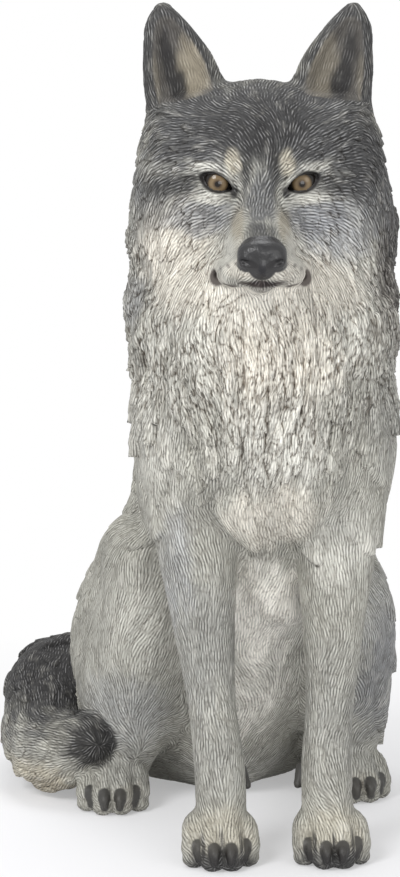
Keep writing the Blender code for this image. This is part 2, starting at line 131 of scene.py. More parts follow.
# Rows, locks round, and a lock's length, width and height, from the big locks to the small.
# The tail's rows follow its path, and the cheeks have no big locks.
RUFF_LAYERS = ((12, 26, 64, 34, 9.0), (20, 88, 58, 10, 3.6), (30, 136, 36, 6, 1.8))
TRUNK_LAYERS = ((7, 20, 74, 44, 6.0), (14, 42, 44, 22, 1.6))
TAIL_LAYERS = ((8, 70, 36, 4.5), (20, 40, 15, 2.0))
CHEEK_LAYERS = (None, (9, 17, 32, 10, 2.6))

# How far a lock waves to its sides, and how far off its own plane it reaches
LOCK_WAVE = 1.7
LOCK_REACH = 20

# Furrows combed into the coat, by width, length and depth
FURROWS = ((11.0, 50.0, 1.5), (6.0, 28.0, 0.9), (3.2, 15.0, 0.6))
COMB_STEP = 3.0

# How much shallower the furrows are on the face and in the ears, and all relief is on the lips
FACE_CALM = 0.75
EAR_CALM = 0.5
LIP_CALM = 0.6

# How much of the big locks is left out where the wash looks for hollows, and over how many
# rounds of smoothing it looks
BIG_LOCKS_OUT = 0.8
HOLLOW_ROUNDS = 3

# Wavers in the way the coat lies: seed, size and amount
COAT_WAVERS = ((3, 62.0, 0.20), (5, 31.0, 0.17))

# How near a point lies to a bare part to belong to it, and over what width that fades
BARE_REACH = {
    "nose": (1.9, 0.9),
    "nostril": (0.9, 1.2),
    "claw": (1.6, 1.2),
    "mouth": (1.8, 2.0),
    "eye": (0.4, 2.6),
}

# Faces that are split into four, and the most faces that one piece may have
SPLIT_FACES = 88000
PIECE_FACES = 84000

# The way the coat lies, in the frames of the head, the chest and the hips
HEAD_LAYS = [
    ((0, -95, -42), (0, 0.8, 0.6)), ((0, -45, -16), (0, 0.6, 0.8)),
    ((8, -20, 0), (0.25, 0.5, 0.85)), ((4, 0, 40), (0.2, 0.5, 0.9)),
    ((30, 5, 45), (0.45, 0.5, 0.75)), ((60, 25, 45), (0.8, 0.6, 0.3)), ((5, 60, 92), (0.1, 1, 0.1)),
    ((35, 60, 85), (0.3, 1, 0.1)), ((26, -8, 16), (0.5, 0.3, 0.8)), ((48, 2, 20), (0.9, 0.3, 0.4)),
    ((68, 24, 4), (0.9, 0.4, -0.2)), ((48, -6, -24), (0.9, 0.3, -0.35)),
    ((26, -45, -32), (0.6, 0.6, -0.3)), ((75, 25, -45), (0.6, 0.4, -0.8)),
    ((55, -5, -70), (0.45, 0.2, -0.9)), ((25, -75, -62), (0.6, 0.7, -0.35)),
    ((14, -105, -82), (0.7, 0.3, -0.6)), ((0, -90, -98), (0, 0.4, -0.9)),
    ((40, -55, -95), (0.35, 0.2, -0.95)), ((72, 75, 95), (0.15, 0, 1)),
    ((88, 85, 140), (0.15, 0, 1)), ((80, 125, 100), (0.15, 0.1, 1)),
    ((105, 60, 30), (0.6, 0.5, -0.7)), ((112, 60, -20), (0.4, 0.4, -0.9)),
]
CHEST_LAYS = [
    ((0, -130, 540), (0, -0.1, -1)), ((50, -110, 540), (0.22, 0, -1)),
    ((100, -50, 600), (0.4, 0.1, -0.9)), ((110, -20, 500), (0, 0.1, -1)),
    ((70, -110, 460), (-0.3, 0, -1)), ((0, -140, 430), (0, 0.2, -1)),
    ((0, -105, 340), (0, 0.4, -0.9)), ((70, -70, 370), (-0.1, 0.1, -1)),
    ((120, 10, 400), (0.05, 0.3, -1)), ((67, -50, 290), (-0.05, -0.1, -1)),
    ((62, -66, 215), (0, -0.3, -0.95)), ((52, -110, 100), (0, -0.3, -0.95)),
    ((52, -130, 45), (0, -0.7, -0.7)), ((52, -148, 25), (0, -0.9, -0.4)),
    ((70, 40, 290), (0, 0.5, -0.9)), ((0, 120, 620), (0, 0.3, -1)),
    ((90, 90, 560), (0.1, 0.4, -0.9)),
]
HIP_LAYS = [
    ((0, 150, 420), (0, 0.4, -0.9)), ((0, 230, 300), (0, 0.5, -0.85)),
    ((0, 310, 150), (0, 0.3, -0.95)), ((115, 60, 290), (0.2, 0.3, -0.9)),
    ((130, 60, 220), (0.55, -0.1, -0.8)), ((165, 130, 190), (0.35, 0.1, -0.9)),
    ((165, 190, 120), (0, 0.4, -0.9)), ((140, 60, 120), (0.25, -0.4, -0.85)),
    ((60, 70, 160), (-0.1, -0.2, -0.95)), ((112, 100, 70), (0, -0.8, -0.6)),
    ((112, 70, 40), (0, -0.95, -0.3)), ((0, 60, 250), (0, 0.5, -0.85)),
]

# Colours as they look on screen
GROUND = (164, 163, 154)
CREAM = (214, 209, 197)
PALE = (198, 197, 189)
BONE = (186, 180, 163)
GREY = (148, 148, 143)
COOL = (154, 156, 158)
STEEL = (118, 120, 124)
SLATE = (88, 89, 91)
CHARCOAL = (59, 59, 60)
BROWN = (92, 88, 84)
DUSK = (82, 79, 75)
SOOT = (34, 33, 34)
BEIGE = (150, 142, 125)
MILK = (240, 237, 228)
STRAND = (206, 203, 194)
RIM = (24, 21, 22)
MOUTH = (50, 40, 38)
CLAW = (30, 28, 28)
NOSE = (29, 29, 32)
FLOOR = (238, 238, 241)
WASH = (118, 107, 96)

# How dark the wash lies in each width of furrow, and how much darker in the ruff
FURROW_WASH = ((0.15, 0.3), (0.4, 0.3), (0.5, 0.1))
WASH_DEPTH = 0.65
WASH_LINE = 0.25

# How much lighter or darker single locks are, big and small, and the widest furrows
TUFTS = (0.08, 0.14, 0.06)

# Paint on the bare parts, in the order that it goes on
BARE_PAINT = (
    ("eye", RIM, 0.95),
    ("mouth", MOUTH, 0.9),
    ("claw", CLAW, 0.9),
    ("nose", NOSE, 0.97),
    ("nostril", SOOT, 0.9),
)

# Rings of the eye, by their share of its radius
EYE_RINGS = (
    (0.0, (22, 18, 16)),
    (0.15, (26, 21, 18)),
    (0.20, (76, 62, 46)),
    (0.34, (118, 101, 77)),
    (0.46, (114, 97, 73)),
    (0.54, (84, 70, 50)),
    (0.62, (26, 23, 21)),
)
GAZE_DOWN = 6
GAZE_OUT = 3

# A mark is its colour, how strong it is, its side (0 for both), its middle and its half size
BODY_PAINT = [
    (SLATE, 0.8, 0, (0, 130, 480), (110, 90, 190)),
    (PALE, 0.9, 0, (0, -60, 520), (150, 120, 160)),
    (CREAM, 0.9, 0, (0, -120, 500), (70, 80, 120)),
    (GREY, 0.7, -1, (122, 10, 560), (44, 120, 130)),
    (SLATE, 0.7, -1, (126, 10, 630), (26, 60, 26)),
    (STEEL, 0.5, -1, (122, -10, 520), (24, 60, 30)),
    # The outer ruff on the viewer's right, away from the key light, is painted brown and charcoal:
    # partly its own colour, partly painted shade
    (BROWN, 0.95, 1, (122, 0, 570), (54, 120, 150)),
    (CHARCOAL, 0.8, 1, (128, 0, 585), (34, 110, 90)),
    (PALE, 0.8, 0, (0, -110, 400), (60, 60, 70)),
    (PALE, 0.6, -1, (100, -10, 400), (60, 100, 90)),
    (GREY, 0.7, 1, (100, -10, 420), (60, 100, 90)),
    (CREAM, 0.8, 0, (0, -80, 320), (60, 70, 60)),
    (GREY, 0.85, -1, (61, -45, 190), (50, 80, 110)),
    (COOL, 0.6, -1, (86, -20, 270), (24, 70, 90)),
    (GREY, 0.6, -1, (55, -80, 90), (44, 60, 60)),
    (GREY, 0.6, 1, (57, -60, 100), (50, 80, 80)),
    (PALE, 0.7, 1, (66, -30, 290), (46, 80, 60)),
    (GREY, 0.4, 1, (57, -60, 150), (44, 70, 80)),
    (BONE, 0.6, 0, (52, -130, 30), (46, 60, 34)),
    # The belly between the forelegs is pale, and painted paler still as painted light where the
    # chest shades it
    (MILK, 0.95, 0, (0, 30, 220), (60, 100, 100)),
    (CHARCOAL, 0.95, 0, (PAW_OUT, -150, 0), (60, 60, 30)),
    (SOOT, 0.8, 0, (PAW_OUT - 18, -140, 22), (2.6, 30, 20)),
    (SOOT, 0.8, 0, (PAW_OUT, -140, 22), (2.6, 30, 20)),
    (SOOT, 0.8, 0, (PAW_OUT + 18, -140, 22), (2.6, 30, 20)),
]
HIP_PAINT = [
    (SLATE, 0.85, 0, (0, 220, 330), (110, 150, 180)),
    (STEEL, 0.6, 0, (0, 300, 120), (120, 100, 130)),
    (PALE, 0.3, -1, (110, 70, 200), (60, 90, 70)),
    (COOL, 0.5, -1, (120, 90, 100), (60, 110, 60)),
    (COOL, 0.5, 1, (130, 100, 190), (60, 110, 80)),
    (STEEL, 0.7, 1, (135, 110, 130), (50, 110, 100)),
    (GREY, 0.6, 0, (114, 70, 40), (46, 80, 40)),
    (BONE, 0.5, 0, (114, 40, 24), (46, 50, 30)),
    # The belly between the haunches is pale, and painted paler still as painted light where it lies
    # in shade
    (MILK, 0.9, 0, (0, 100, 150), (60, 80, 100)),
    (GREY, 0.5, 0, (0, 110, 30), (110, 100, 30)),
]
HEAD_PAINT = [
    (GREY, 0.8, 0, (0, 50, 0), (130, 110, 110)),
    # The cheek towards the key light is painted cream and the other cool grey: partly their own
    # colours, partly painted light and shade
    (CREAM, 0.9, -1, (76, 10, -58), (56, 80, 56)),
    (COOL, 0.8, 1, (70, 10, -44), (50, 80, 46)),
    (CREAM, 0.9, 0, (50, -5, -98), (70, 80, 38)),
    (MILK, 0.5, 0, (0, -60, -108), (60, 80, 30)),
    (SLATE, 0.95, 0, (44, 20, 52), (92, 90, 62)),
    (CHARCOAL, 0.97, 0, (0, 10, 62), (104, 90, 66)),
    (SOOT, 0.35, 0, (0, 10, 50), (60, 90, 50)),
    (CHARCOAL, 0.7, 0, (0, 70, 92), (80, 70, 26)),
    (SOOT, 0.8, 0, (0, 5, 54), (9, 70, 46)),
    (SOOT, 0.8, 0, (12, -12, 16), (8, 50, 28)),
    (SLATE, 0.5, 0, (96, 30, 4), (40, 80, 40)),
    (BONE, 0.85, 0, (25, -8, 19), (10, 50, 17)),
    (PALE, 0.7, 0, (50, 2, 14.5), (19, 50, 6)),
    (CHARCOAL, 0.95, 1, (40, 0, 26), (17, 50, 12)),
    (SLATE, 0.5, -1, (100, 20, -26), (34, 60, 28)),
    (CHARCOAL, 0.85, 0, (78, 26, 30), (34, 60, 18)),
    (CHARCOAL, 0.9, 0, (80, 26, -4), (44, 60, 15)),
    # The brow and temple on the viewer's right, away from the key light, are painted slate and
    # charcoal: partly their own marking, partly painted shade
    (SLATE, 0.8, 1, (104, 50, 0), (44, 80, 70)),
    (CHARCOAL, 0.85, 1, (92, 36, 26), (48, 80, 56)),
    (STEEL, 0.8, 0, (54, -4, -32), (46, 60, 24)),
    (PALE, 0.8, 0, (46, -4, -15), (21, 50, 7)),
    (SLATE, 0.9, 0, (0, -36, -18), (20, 80, 46)),
    (CHARCOAL, 0.9, 0, (0, -84, -44), (20, 50, 18)),
    (BEIGE, 0.7, 0, (21, -45, -42), (9, 60, 34)),
    (PALE, 0.6, 0, (34, -60, -58), (22, 60, 22)),
    (CREAM, 0.7, 0, (17, -98, -74), (28, 46, 12)),
    # Painted shade on the lower lip, under the mouth line
    (BROWN, 0.5, 0, (0, -100, -93), (26, 30, 8)),
    (MOUTH, 1.0, 0, (0, -104, -86), (33, 30, 5.0)),
    (MOUTH, 0.8, 0, (0, -112, -76), (2.6, 20, 10)),
    (RIM, 0.95, 0, (24, -10, -9), (6, 40, 9)),
    (SOOT, 0.85, 0, (62, 4, 3), (13, 40, 5)),
    (CHARCOAL, 0.97, 0, (88, 84, 116), (76, 90, 104)),
    (CHARCOAL, 0.85, 0, (58, 70, 66), (34, 50, 28)),
]
EAR_PAINT = [
    # The inside of the ear towards the key light is painted lighter than the other: partly their
    # own colour, partly painted light and shade
    (BEIGE, 0.85, -1, (63, 76, 104), (24, 60, 46)),
    (BEIGE, 0.45, 1, (63, 76, 104), (24, 60, 46)),
    (BEIGE, 0.35, 0, (102, 80, 88), (13, 60, 40)),
    (SOOT, 0.8, 0, (88, 80, 124), (8, 60, 26)),
    (SOOT, 0.9, 0, (83, 80, 104), (9, 60, 30)),
    (SOOT, 0.95, 0, (75, 78, 84), (11, 60, 28)),
    (SOOT, 1.0, 0, (66, 74, 66), (16, 60, 18)),
]
LIP_DOTS = ((23, -68), (29, -62), (30, -71), (35, -66), (37, -75), (42, -69))
TAIL_PAINT = [
    (CHARCOAL, 0.98, 1, (-130, 160, 115), (120, 200, 100)),
    (SOOT, 0.95, 1, (-140, 170, 130), (130, 210, 84)),
    (SLATE, 0.5, 1, (-165, 110, 60), (50, 110, 34)),
    (BONE, 0.95, 1, (-170, 50, 20), (56, 90, 36)),
    (BEIGE, 0.6, 1, (-140, 40, 12), (70, 90, 20)),
    (SOOT, 0.95, 1, (-104, 10, 70), (46, 60, 40)),
]

# Fine hairs in the shading
HAIR_WAY = "Orientation 3D"
HAIR_SCALE = 150
HAIR_FREQUENCY = 2.3
GRAIN_SCALE = 450
HAIR_SHADE = ((0.36, 0.62), (0.32, 1.38))
HAIR_TIPS = ((0.58, 0.72), (0, 0.125))
BUMP_STRENGTH = 0.7
BUMP_DEPTH = 0.0007
ROUGH_MATT = 0.72
ROUGH_GLOSS = 0.3

# Name, place, size and power of each light
LIGHTS = (
    ("key", (-1.5, -2.3, 2.3), 1.4, 63),
    ("fill", (1.9, -2.2, 1.3), 1.6, 14),
    ("top", (0.0, 0.4, 2.6), 1.4, 20),
    ("low", (0.5, -2.7, 0.45), 1.2, 20),
)
LIGHT_AIM = (0, 0, 0.4)
AMBIENT = 0.5

# How wide the floor is, and between which distances it goes over to plain white
FLOOR_WIDTH = 30
SHADOW_FADE = ((0.3, 0.9), (0.35, 1.0))

# The camera: its lens, where it stands and how far it looks down
LENS = 118.5
CAMERA_PLACE = (0.0028, -2.8254, 0.75)
CAMERA_DOWN = 7.57


def frame(place, yaw=0, roll=0):
    turn = Euler((0, math.radians(roll), math.radians(yaw)))
    return Matrix.Translation(place) @ turn.to_matrix().to_4x4()


# The frames that places on the wolf are measured in
WHOLE = frame((0, 0, 0))
HEAD = frame(HEAD_PLACE)
CHEST = frame(CHEST_PLACE, yaw=CHEST_YAW)
HIPS = frame(HIP_PLACE, yaw=HIP_YAW)


def both(place):
    """The frame for the wolf's left side, then its mirror image for the right."""
    return [place @ Matrix.Diagonal((side, 1, 1, 1)) for side in (1, -1)]


class Mass:
    """One lump or limb: a signed distance in its own frame, and the box that holds it."""

    def __init__(self, place, low, high, distance):
        inverse = place.inverted()
        self.turn = np.array(inverse.to_3x3(), np.float32)
        self.shift = np.array(inverse.translation, np.float32)
        corners = [place @ Vector(corner) for corner in product(*zip(low, high))]
        self.low = np.min(corners, axis=0)
        self.high = np.max(corners, axis=0)
        self.local_distance = distance

    def distance(self, x, y, z):
        local = [
            row[0] * x + row[1] * y + row[2] * z + shift
            for row, shift in zip(self.turn, self.shift)
        ]
        return self.local_distance(*local)


def lump(place, centre, half, turn=(0, 0, 0)):
    """An ellipsoid with these half axes, turned by degrees about X, Y and Z."""
    spin = Euler([math.radians(a) for a in turn]).to_matrix().to_4x4()
    a, b, c = half

    def distance(x, y, z):
        u, v, w = x / a, y / b, z / c
        reach = np.sqrt(u * u + v * v + w * w)
        slope = np.sqrt((u / a) ** 2 + (v / b) ** 2 + (w / c) ** 2)
        return reach * (reach - 1) / np.maximum(slope, 1e-6)

    low = tuple(-h for h in half)
    return Mass(place @ Matrix.Translation(centre) @ spin, low, half, distance)


def smooth_path(keys, pieces=4):
    """Places and girths along a smooth curve through these."""
    if len(keys) < 3:
        return keys
    ends = np.vstack([2 * keys[0] - keys[1], keys, 2 * keys[-1] - keys[-2]])
    curve = []
    for a, b, c, d in zip(ends, ends[1:], ends[2:], ends[3:]):
        for t in np.arange(pieces, dtype=np.float32) / pieces:
            square = (2 * a - 5 * b + 4 * c - d) * t**2
            cube = (3 * b - a - 3 * c + d) * t**3
            curve.append((2 * b + (c - a) * t + square + cube) / 2)
    return np.array(curve + [keys[-1]])


def limb(place, path, flat=(1, 1, 1)):
    """A round limb along a path of places and girths; flat narrows it along X, Y or Z."""
    flat = np.array((*flat, 1), np.float32)
    keys = smooth_path((np.array(path) / flat).astype(np.float32))
    spans = list(zip(keys, keys[1:]))

    def distance(x, y, z):
        x, y, z = x / flat[0], y / flat[1], z / flat[2]
        nearest = np.inf
        for start, end in spans:
            along = end - start
            ax, ay, az, widening = along
            length = max(float(along[:3] @ along[:3]), 1e-6)
            dx, dy, dz = x - start[0], y - start[1], z - start[2]
            t = np.clip((dx * ax + dy * ay + dz * az) / length, 0, 1)
            gap = np.sqrt((dx - ax * t) ** 2 + (dy - ay * t) ** 2 + (dz - az * t) ** 2)
            nearest = np.minimum(nearest, gap - (start[3] + widening * t))
        return nearest * flat.min()

    low = ((keys[:, :3] - keys[:, 3:]) * flat[:3]).min(axis=0)
    high = ((keys[:, :3] + keys[:, 3:]) * flat[:3]).max(axis=0)
    return Mass(place, low, high, distance)


def melt(a, b, width):
    """The smaller of two distances, with a fillet this wide where they meet."""
    near = np.maximum(width - np.abs(a - b), 0) / width
    return np.minimum(a, b) - near * near * width / 4


def grid_axis(low, high, fine):
    """Coordinates from low to high, closer together inside the fine spans."""
    marks = [low]
    while marks[-1] < high:
        close = any(a <= marks[-1] < b for a, b in fine)
        marks.append(marks[-1] + (FINE_STEP if close else STEP))
    return np.array(marks, np.float32)


def corner_weights(part):
    """The eight corners of a cell, and the weight of each at these places inside the cell."""
    for corner in np.ndindex(2, 2, 2):
        weight = 1
        for share, up in zip(part, corner):
            weight = weight * (share if up else 1 - share)
        yield corner, weight


class Clay:
    """The distance to the surface of the clay on a grid, negative inside."""

    def __init__(self):
        self.axes = [grid_axis(*span) for span in zip(LOW, HIGH, FINE)]
        self.field = np.full([len(a) for a in self.axes], OUTSIDE, np.float32)
        self.marks = {}

    def add(self, mass, blend, mark=None, sign=1):
        """Melts a mass into the clay, and remembers it by its mark for the paint."""
        if mark:
            self.marks.setdefault(mark, []).append(mass)
        reach = blend + 2 * STEP
        low, high = mass.low - reach, mass.high + reach
        spans = tuple(
            slice(*np.searchsorted(axis, ends)) for axis, *ends in zip(self.axes, low, high)
        )
        x, y, z = (axis[span] for axis, span in zip(self.axes, spans))
        gap = mass.distance(x[:, None, None], y[None, :, None], z[None, None, :])
        self.field[spans] = sign * melt(sign * self.field[spans], gap, blend)

    def cut(self, mass, blend, mark=None):
        """Cuts a mass out of the clay."""
        self.add(mass, blend, mark, -1)

    def join(self, other, blend):
        self.field = melt(self.field, other.field, blend)
        self.marks.update(other.marks)

    def soften(self, times):
        """Rounds off creases by averaging each cell with its neighbours."""
        for _ in range(times):
            for axis in range(3):
                ahead = np.roll(self.field, -1, axis)
                behind = np.roll(self.field, 1, axis)
                self.field = (2 * self.field + ahead + behind) / 4

    def surface(self):
        """Points and quads of the surface."""
        grid = openvdb.FloatGrid(OUTSIDE)
        grid.copyFromArray(self.field)
        points, quads = grid.convertToQuads(0.0)
        places = [np.interp(p, np.arange(len(a)), a) for p, a in zip(points.T, self.axes)]
        return np.stack(places, axis=1), quads

    def depth(self, points):
        """The distance at these points, blended between the cells around each."""
        places = [np.interp(p, a, np.arange(len(a))) for p, a in zip(points.T, self.axes)]
        cells = [np.clip(p.astype(int), 0, len(a) - 2) for p, a in zip(places, self.axes)]
        total = 0
        for corner, weight in corner_weights([p - c for p, c in zip(places, cells)]):
            here = tuple(c + up for c, up in zip(cells, corner))
            total = total + weight * self.field[here]
        return total

    def hit(self, start, way, reach=240):
        """Where a line from the start, going this way, leaves the clay for good."""
        away = np.arange(reach, 0, -2)[:, None]
        points = np.array(start) + np.array(way) * away
        return points[np.argmax(self.depth(points) < 0)][None]

    def normals(self, points):
        """The direction straight out of the clay at these points."""
        steps = np.eye(3) * STEP
        slopes = [self.depth(points + s) - self.depth(points - s) for s in steps]
        slopes = np.stack(slopes, axis=1)
        return slopes / np.maximum(np.linalg.norm(slopes, axis=1, keepdims=True), 1e-6)

    def skin(self, points, rounds=4, reach=8):
        """These points moved straight onto the surface."""
        for _ in range(rounds):
            gaps = np.clip(self.depth(points), -reach, reach)
            points = points - self.normals(points) * gaps[:, None]
        return points


def sculpt_body(clay):
    # Back, from the withers down to the rump
    back = [(0, 34, 450, 88), (0, 62, 360, 104), (0, 128, 245, 110), (0, 212, 125, 100)]
    clay.add(limb(HIPS, back), 30)
    clay.add(lump(HIPS, (4, RUMP_BACK, 60), (125, 80, 80)), 30)
    # Chest, and the belly that slopes back between the haunches
    clay.add(lump(CHEST, (-3, -14, 400), (113, 92, 112)), 30)
    clay.add(limb(CHEST, [(0, -22, 400, 86), (2, 0, 300, 40), (12, 26, 228, 26)]), 20)
    belly = [(0, 90, 300, 66), (-4, 128, 180, 84), (-6, 170, 70, 70)]
    clay.add(limb(HIPS, belly), 30)
    clay.add(lump(CHEST, (24, 28, 214), (18, 22, 15), (0, 24, 0)), 10)
    for near in both(CHEST):
        clay.add(lump(near, (76, 16, 385), (42, 72, 108)), 30)
    clay.add(lump(HIPS, (-111, 96, 262), (28, 50, 36), (0, 25, 0)), 20)
    clay.add(lump(HIPS, (94, 96, 262), (28, 50, 34), (0, -25, 0)), 20)
    for near in both(HIPS):
        clay.add(lump(near, (HAUNCH_OUT, 150, 168), (58, 96, 104), (14, -8, 0)), 26)
        clay.add(lump(near, (98, 92, 190), (44, 52, 66), (20, 0, 0)), 30)
        shank = [(104, 135, 120, 50), (114, 128, 70, 38), (118, 150, 38, 32)]
        clay.add(limb(near, shank), 24)


def sculpt_ruff(clay):
    place = frame(CHEST_PLACE)
    neck = [(-6, 30, 650, 62), (-4, 50, 570, 80), (-2, 60, 470, 94)]
    clay.add(limb(place, neck), 30)
    for near in both(place @ Matrix.Translation((-4, 0, 0))):
        clay.add(lump(near, (62, 0, 655), (50, 62, 62)), 24)
        clay.add(lump(near, (70, 2, 606), (52, 62, 52)), 24)
        clay.add(lump(near, (62, -10, 575), (56, 64, 60)), 24)
        clay.add(lump(near, (56, -8, 500), (64, 76, 72)), 24)
    clay.add(lump(place, (-4, -46, 505), (92, 82, 84)), 24)
    clay.add(lump(place, (-4, -58, 445), (84, 72, 96)), 24)


def sculpt_foreleg(clay, near):
    leg = [
        (74, 4, 380, 48),
        (67, -12, 290, 40),
        (62, -36, 215, 30),
        (56, -60, 141, 23),
        (51, -84, 90, 24),
        (50, -96, 50, 24),
    ]
    clay.add(limb(near, leg), 11)
    sculpt_paw(clay, near @ Matrix.Translation((PAW_OUT, -PAW_FORWARD, 0)))
    dewclaw = [(30, -66, 78, 7), (24, -78, 66, 4)]
    clay.add(limb(near, dewclaw), 3, "claw")


def sculpt_paw(clay, place):
    """Four toes and their claws, spread in front of the pad."""
    place = place @ Matrix.Scale(PAW_SCALE, 4)
    clay.add(lump(place, (0, 0, 28), (34, 44, 32)), 10)
    for spread, reach in ((-28, -28), (-10, -44), (10, -44), (28, -28)):
        toe = [
            (spread * 0.7, reach + 44, 38, 11),
            (spread * 0.95, reach + 18, 37, 12.5),
            (spread, reach, 20, 13.5),
        ]
        claw = [
            (spread * 0.88, reach - 9, 24, 5.2),
            (spread * 0.84, reach - 14, 19, 5.0),
            (spread * 0.82, reach - 16, 11, 3.4),
        ]
        clay.add(limb(place, toe), 3)
        clay.add(lump(place, (spread, reach - 2, 8), (12.5, 12, 9)), 3)
        clay.add(limb(place, claw), 1.0, "claw")


def sculpt_hind_foot(clay, near, yaw):
    near = near @ Matrix.Translation((HIND_FOOT_OUT, HIND_FOOT_BACK, 0))
    near = near @ Matrix.Rotation(math.radians(yaw), 4, "Z")
    clay.add(limb(near, [(0, 35, 40, 26), (0, -25, 36, 28), (0, -60, 32, 27)]), 14)
    sculpt_paw(clay, near @ Matrix.Translation((0, -82, 0)))


def sculpt_head(clay):
    skull = [(0, 22, 0, 44), (0, 44, 22, 54), (0, 78, 32, 62)]
    clay.add(limb(HEAD, skull, (1.16, 1, 1)), 20)
    # Bridge, muzzle and jaw
    clay.add(limb(HEAD, [(0, 14, -6, 30), (0, -32, -34, 20), (0, -90, -56, 15.5)]), 12)
    clay.add(limb(HEAD, [(0, 20, -50, 38), (0, -42, -60, 30), (0, -88, -66, 22)]), 14)
    clay.add(limb(HEAD, [(0, 10, -80, 28), (0, -50, -82, 17), (0, -86, -84, 11.5)]), 8)
    for near in both(HEAD):
        clay.add(lump(near, (50, 52, -38), (52, 52, 56)), 24)
        clay.add(lump(near, (74, 62, 2), (36, 48, 66), (0, 6, 0)), 34)
        clay.add(lump(near, (36, 14, 21), (24, 16, 11), (0, -8, 20)), 14)
        lip = [(12, -96, -74, 12), (23, -66, -79, 13), (35, -22, -78, 11)]
        clay.add(limb(near, lip), 6)
    clay.soften(2)
    sculpt_mouth(clay)
    sculpt_nose(clay)
    for near in both(HEAD):
        sculpt_eye(clay, near)
        sculpt_ear(clay, near)


def sculpt_mouth(clay):
    line = [(0, -112, -86, 2.0), (12, -108, -88, 2.4), (24, -86, -93, 2.4), (33, -56, -92, 1.8)]
    for near in both(HEAD):
        clay.cut(limb(near, line), 3, "mouth")
        clay.cut(lump(near, (39, -36, -84), (5, 12, 7), (0, -35, 0)), 3, "mouth")
    clay.cut(limb(HEAD, [(0, -118, -70, 1.6), (0, -114, -84, 1.6)]), 2, "mouth")


def sculpt_nose(clay):
    clay.add(lump(HEAD, (0, -102, -57), (22, 15, 12)), 3, "nose")
    clay.add(lump(HEAD, (0, -102, -68), (13, 14, 12)), 4, "nose")
    for near in both(HEAD):
        clay.add(lump(near, (13, -105, -64), (9, 10, 9)), 4, "nose")
        nostril = [(8, -118, -69, 3.6), (17, -112, -65, 2.2)]
        clay.cut(limb(near, nostril), 1.5, "nostril")


def almond(place, width, height, depth):
    """A prism along Y, pointed at both sides like an eye's opening."""
    bow = (width**2 + height**2) / (2 * height)

    def distance(x, y, z):
        upper = np.sqrt(x * x + (z - height + bow) ** 2) - bow
        lower = np.sqrt(x * x + (z + height - bow) ** 2) - bow
        return np.maximum(np.maximum(upper, lower), np.abs(y) - depth)

    return Mass(place, (-width, -depth, -height), (width, depth, height), distance)


def sculpt_eye(clay, near):
    clay.cut(lump(near, (26, -20, -8), (11, 14, 18), (0, 0, 30)), 12)
    socket = near @ frame((37, 5, 0), yaw=24) @ frame((0, 0, 0), roll=-22)
    clay.add(lump(socket, (0, 6, 0), (21, 17, 15.5)), 5)
    opening = socket @ Matrix.Translation((0, -15, 0))
    clay.cut(almond(opening, EYE_WIDTH / 2, EYE_HEIGHT / 2, 24), 1.2, "eye")
    clay.add(lump(near, EYE_PLACE, [EYE_RADIUS] * 3), 0.4)


def sculpt_ear(clay, near):
    shell = [
        (60, 92, 46, 44),
        (72, 96, 92, 37),
        (80, 98, 118, 29),
        (87, 100, 138, 21),
        (90, 102, 156, 10),
    ]
    hollow = [(66, 68, 70, 22), (72, 72, 92, 25), (80, 80, 120, 18), (87, 88, 142, 8)]
    clay.add(limb(near, shell, (1, 0.6, 1)), 10)
    clay.cut(limb(near, hollow, (1, 0.8, 1)), 5, "ear")


def staggered(rows, around):
    """Places in rows that alternate by half a step: the row, the number and the step round."""
    for row in range(rows):
        for k in range(around):
            yield row, k, k + 0.5 * (row % 2)


def lock_at(clay, root, lean, length):
    """A lock from this root on the skin, lying as nearly this way as the skin lets it."""
    seat = clay.normals(root)[0]
    along = lean - seat * (lean @ seat)
    return root[0], along / np.linalg.norm(along), seat, length


def ruff_locks(clay, rows, around, length):
    """Locks from the cheeks and the nape down to the chest."""
    locks = []
    for row, k, step in staggered(rows, around):
        low = row / (rows - 1)
        turn = 2 * math.pi * step / around
        turn += 1.8 / around * math.sin(5.1 * k + 2.3 * row)
        out = Vector((math.sin(turn), -math.cos(turn), 0))
        front = max(0.0, -out.y)
        level = RUFF_TOP + (RUFF_FOOT - RUFF_TOP) * low
        level += RUFF_RISE * (1 - front) * low + 9 * math.sin(3.7 * k + 1.9 * row)
        level -= low * (RUFF_LAYERS[0][2] - length)
        if level > JAW_LEVEL + NAPE_RISE * max(0.0, 1 - 1.5 * front):
            continue
        root = clay.hit(Vector((*RUFF_MIDDLE, level)), out)
        lean = np.array((out.x * (0.5 - 1.0 * low), 0.3 * (1 - front), -1.0))
        lean += 0.2 * math.sin(4.3 * k + 3.1 * row) * np.array((-out.y, out.x, 0))
        real = length * (1 + 0.2 * math.sin(2.9 * k + row))
        locks.append(lock_at(clay, root, lean, real))
    return locks


def cheek_locks(clay, rows, around, length):
    """Small locks fanned back from the cheeks, from under each ear down to the jaw."""
    locks = []
    start = Vector(HEAD_PLACE) + Vector((0, 10, 0))
    for row, k, step in staggered(rows, around):
        back = row / (rows - 1)
        turn = math.radians(42 - 112 * step / around)
        turn += 0.03 * math.sin(5.3 * k + 2.1 * row)
        for side in (1, -1):
            out = Vector((side * math.cos(turn), -0.75 + 1.1 * back, math.sin(turn)))
            lean = np.array((side * 0.5 * math.cos(turn), 0.7, math.sin(turn) - 0.9))
            real = length * (1 + 0.25 * math.sin(2.3 * k + row + side))
            locks.append(lock_at(clay, clay.hit(start, out.normalized()), lean, real))
    return locks


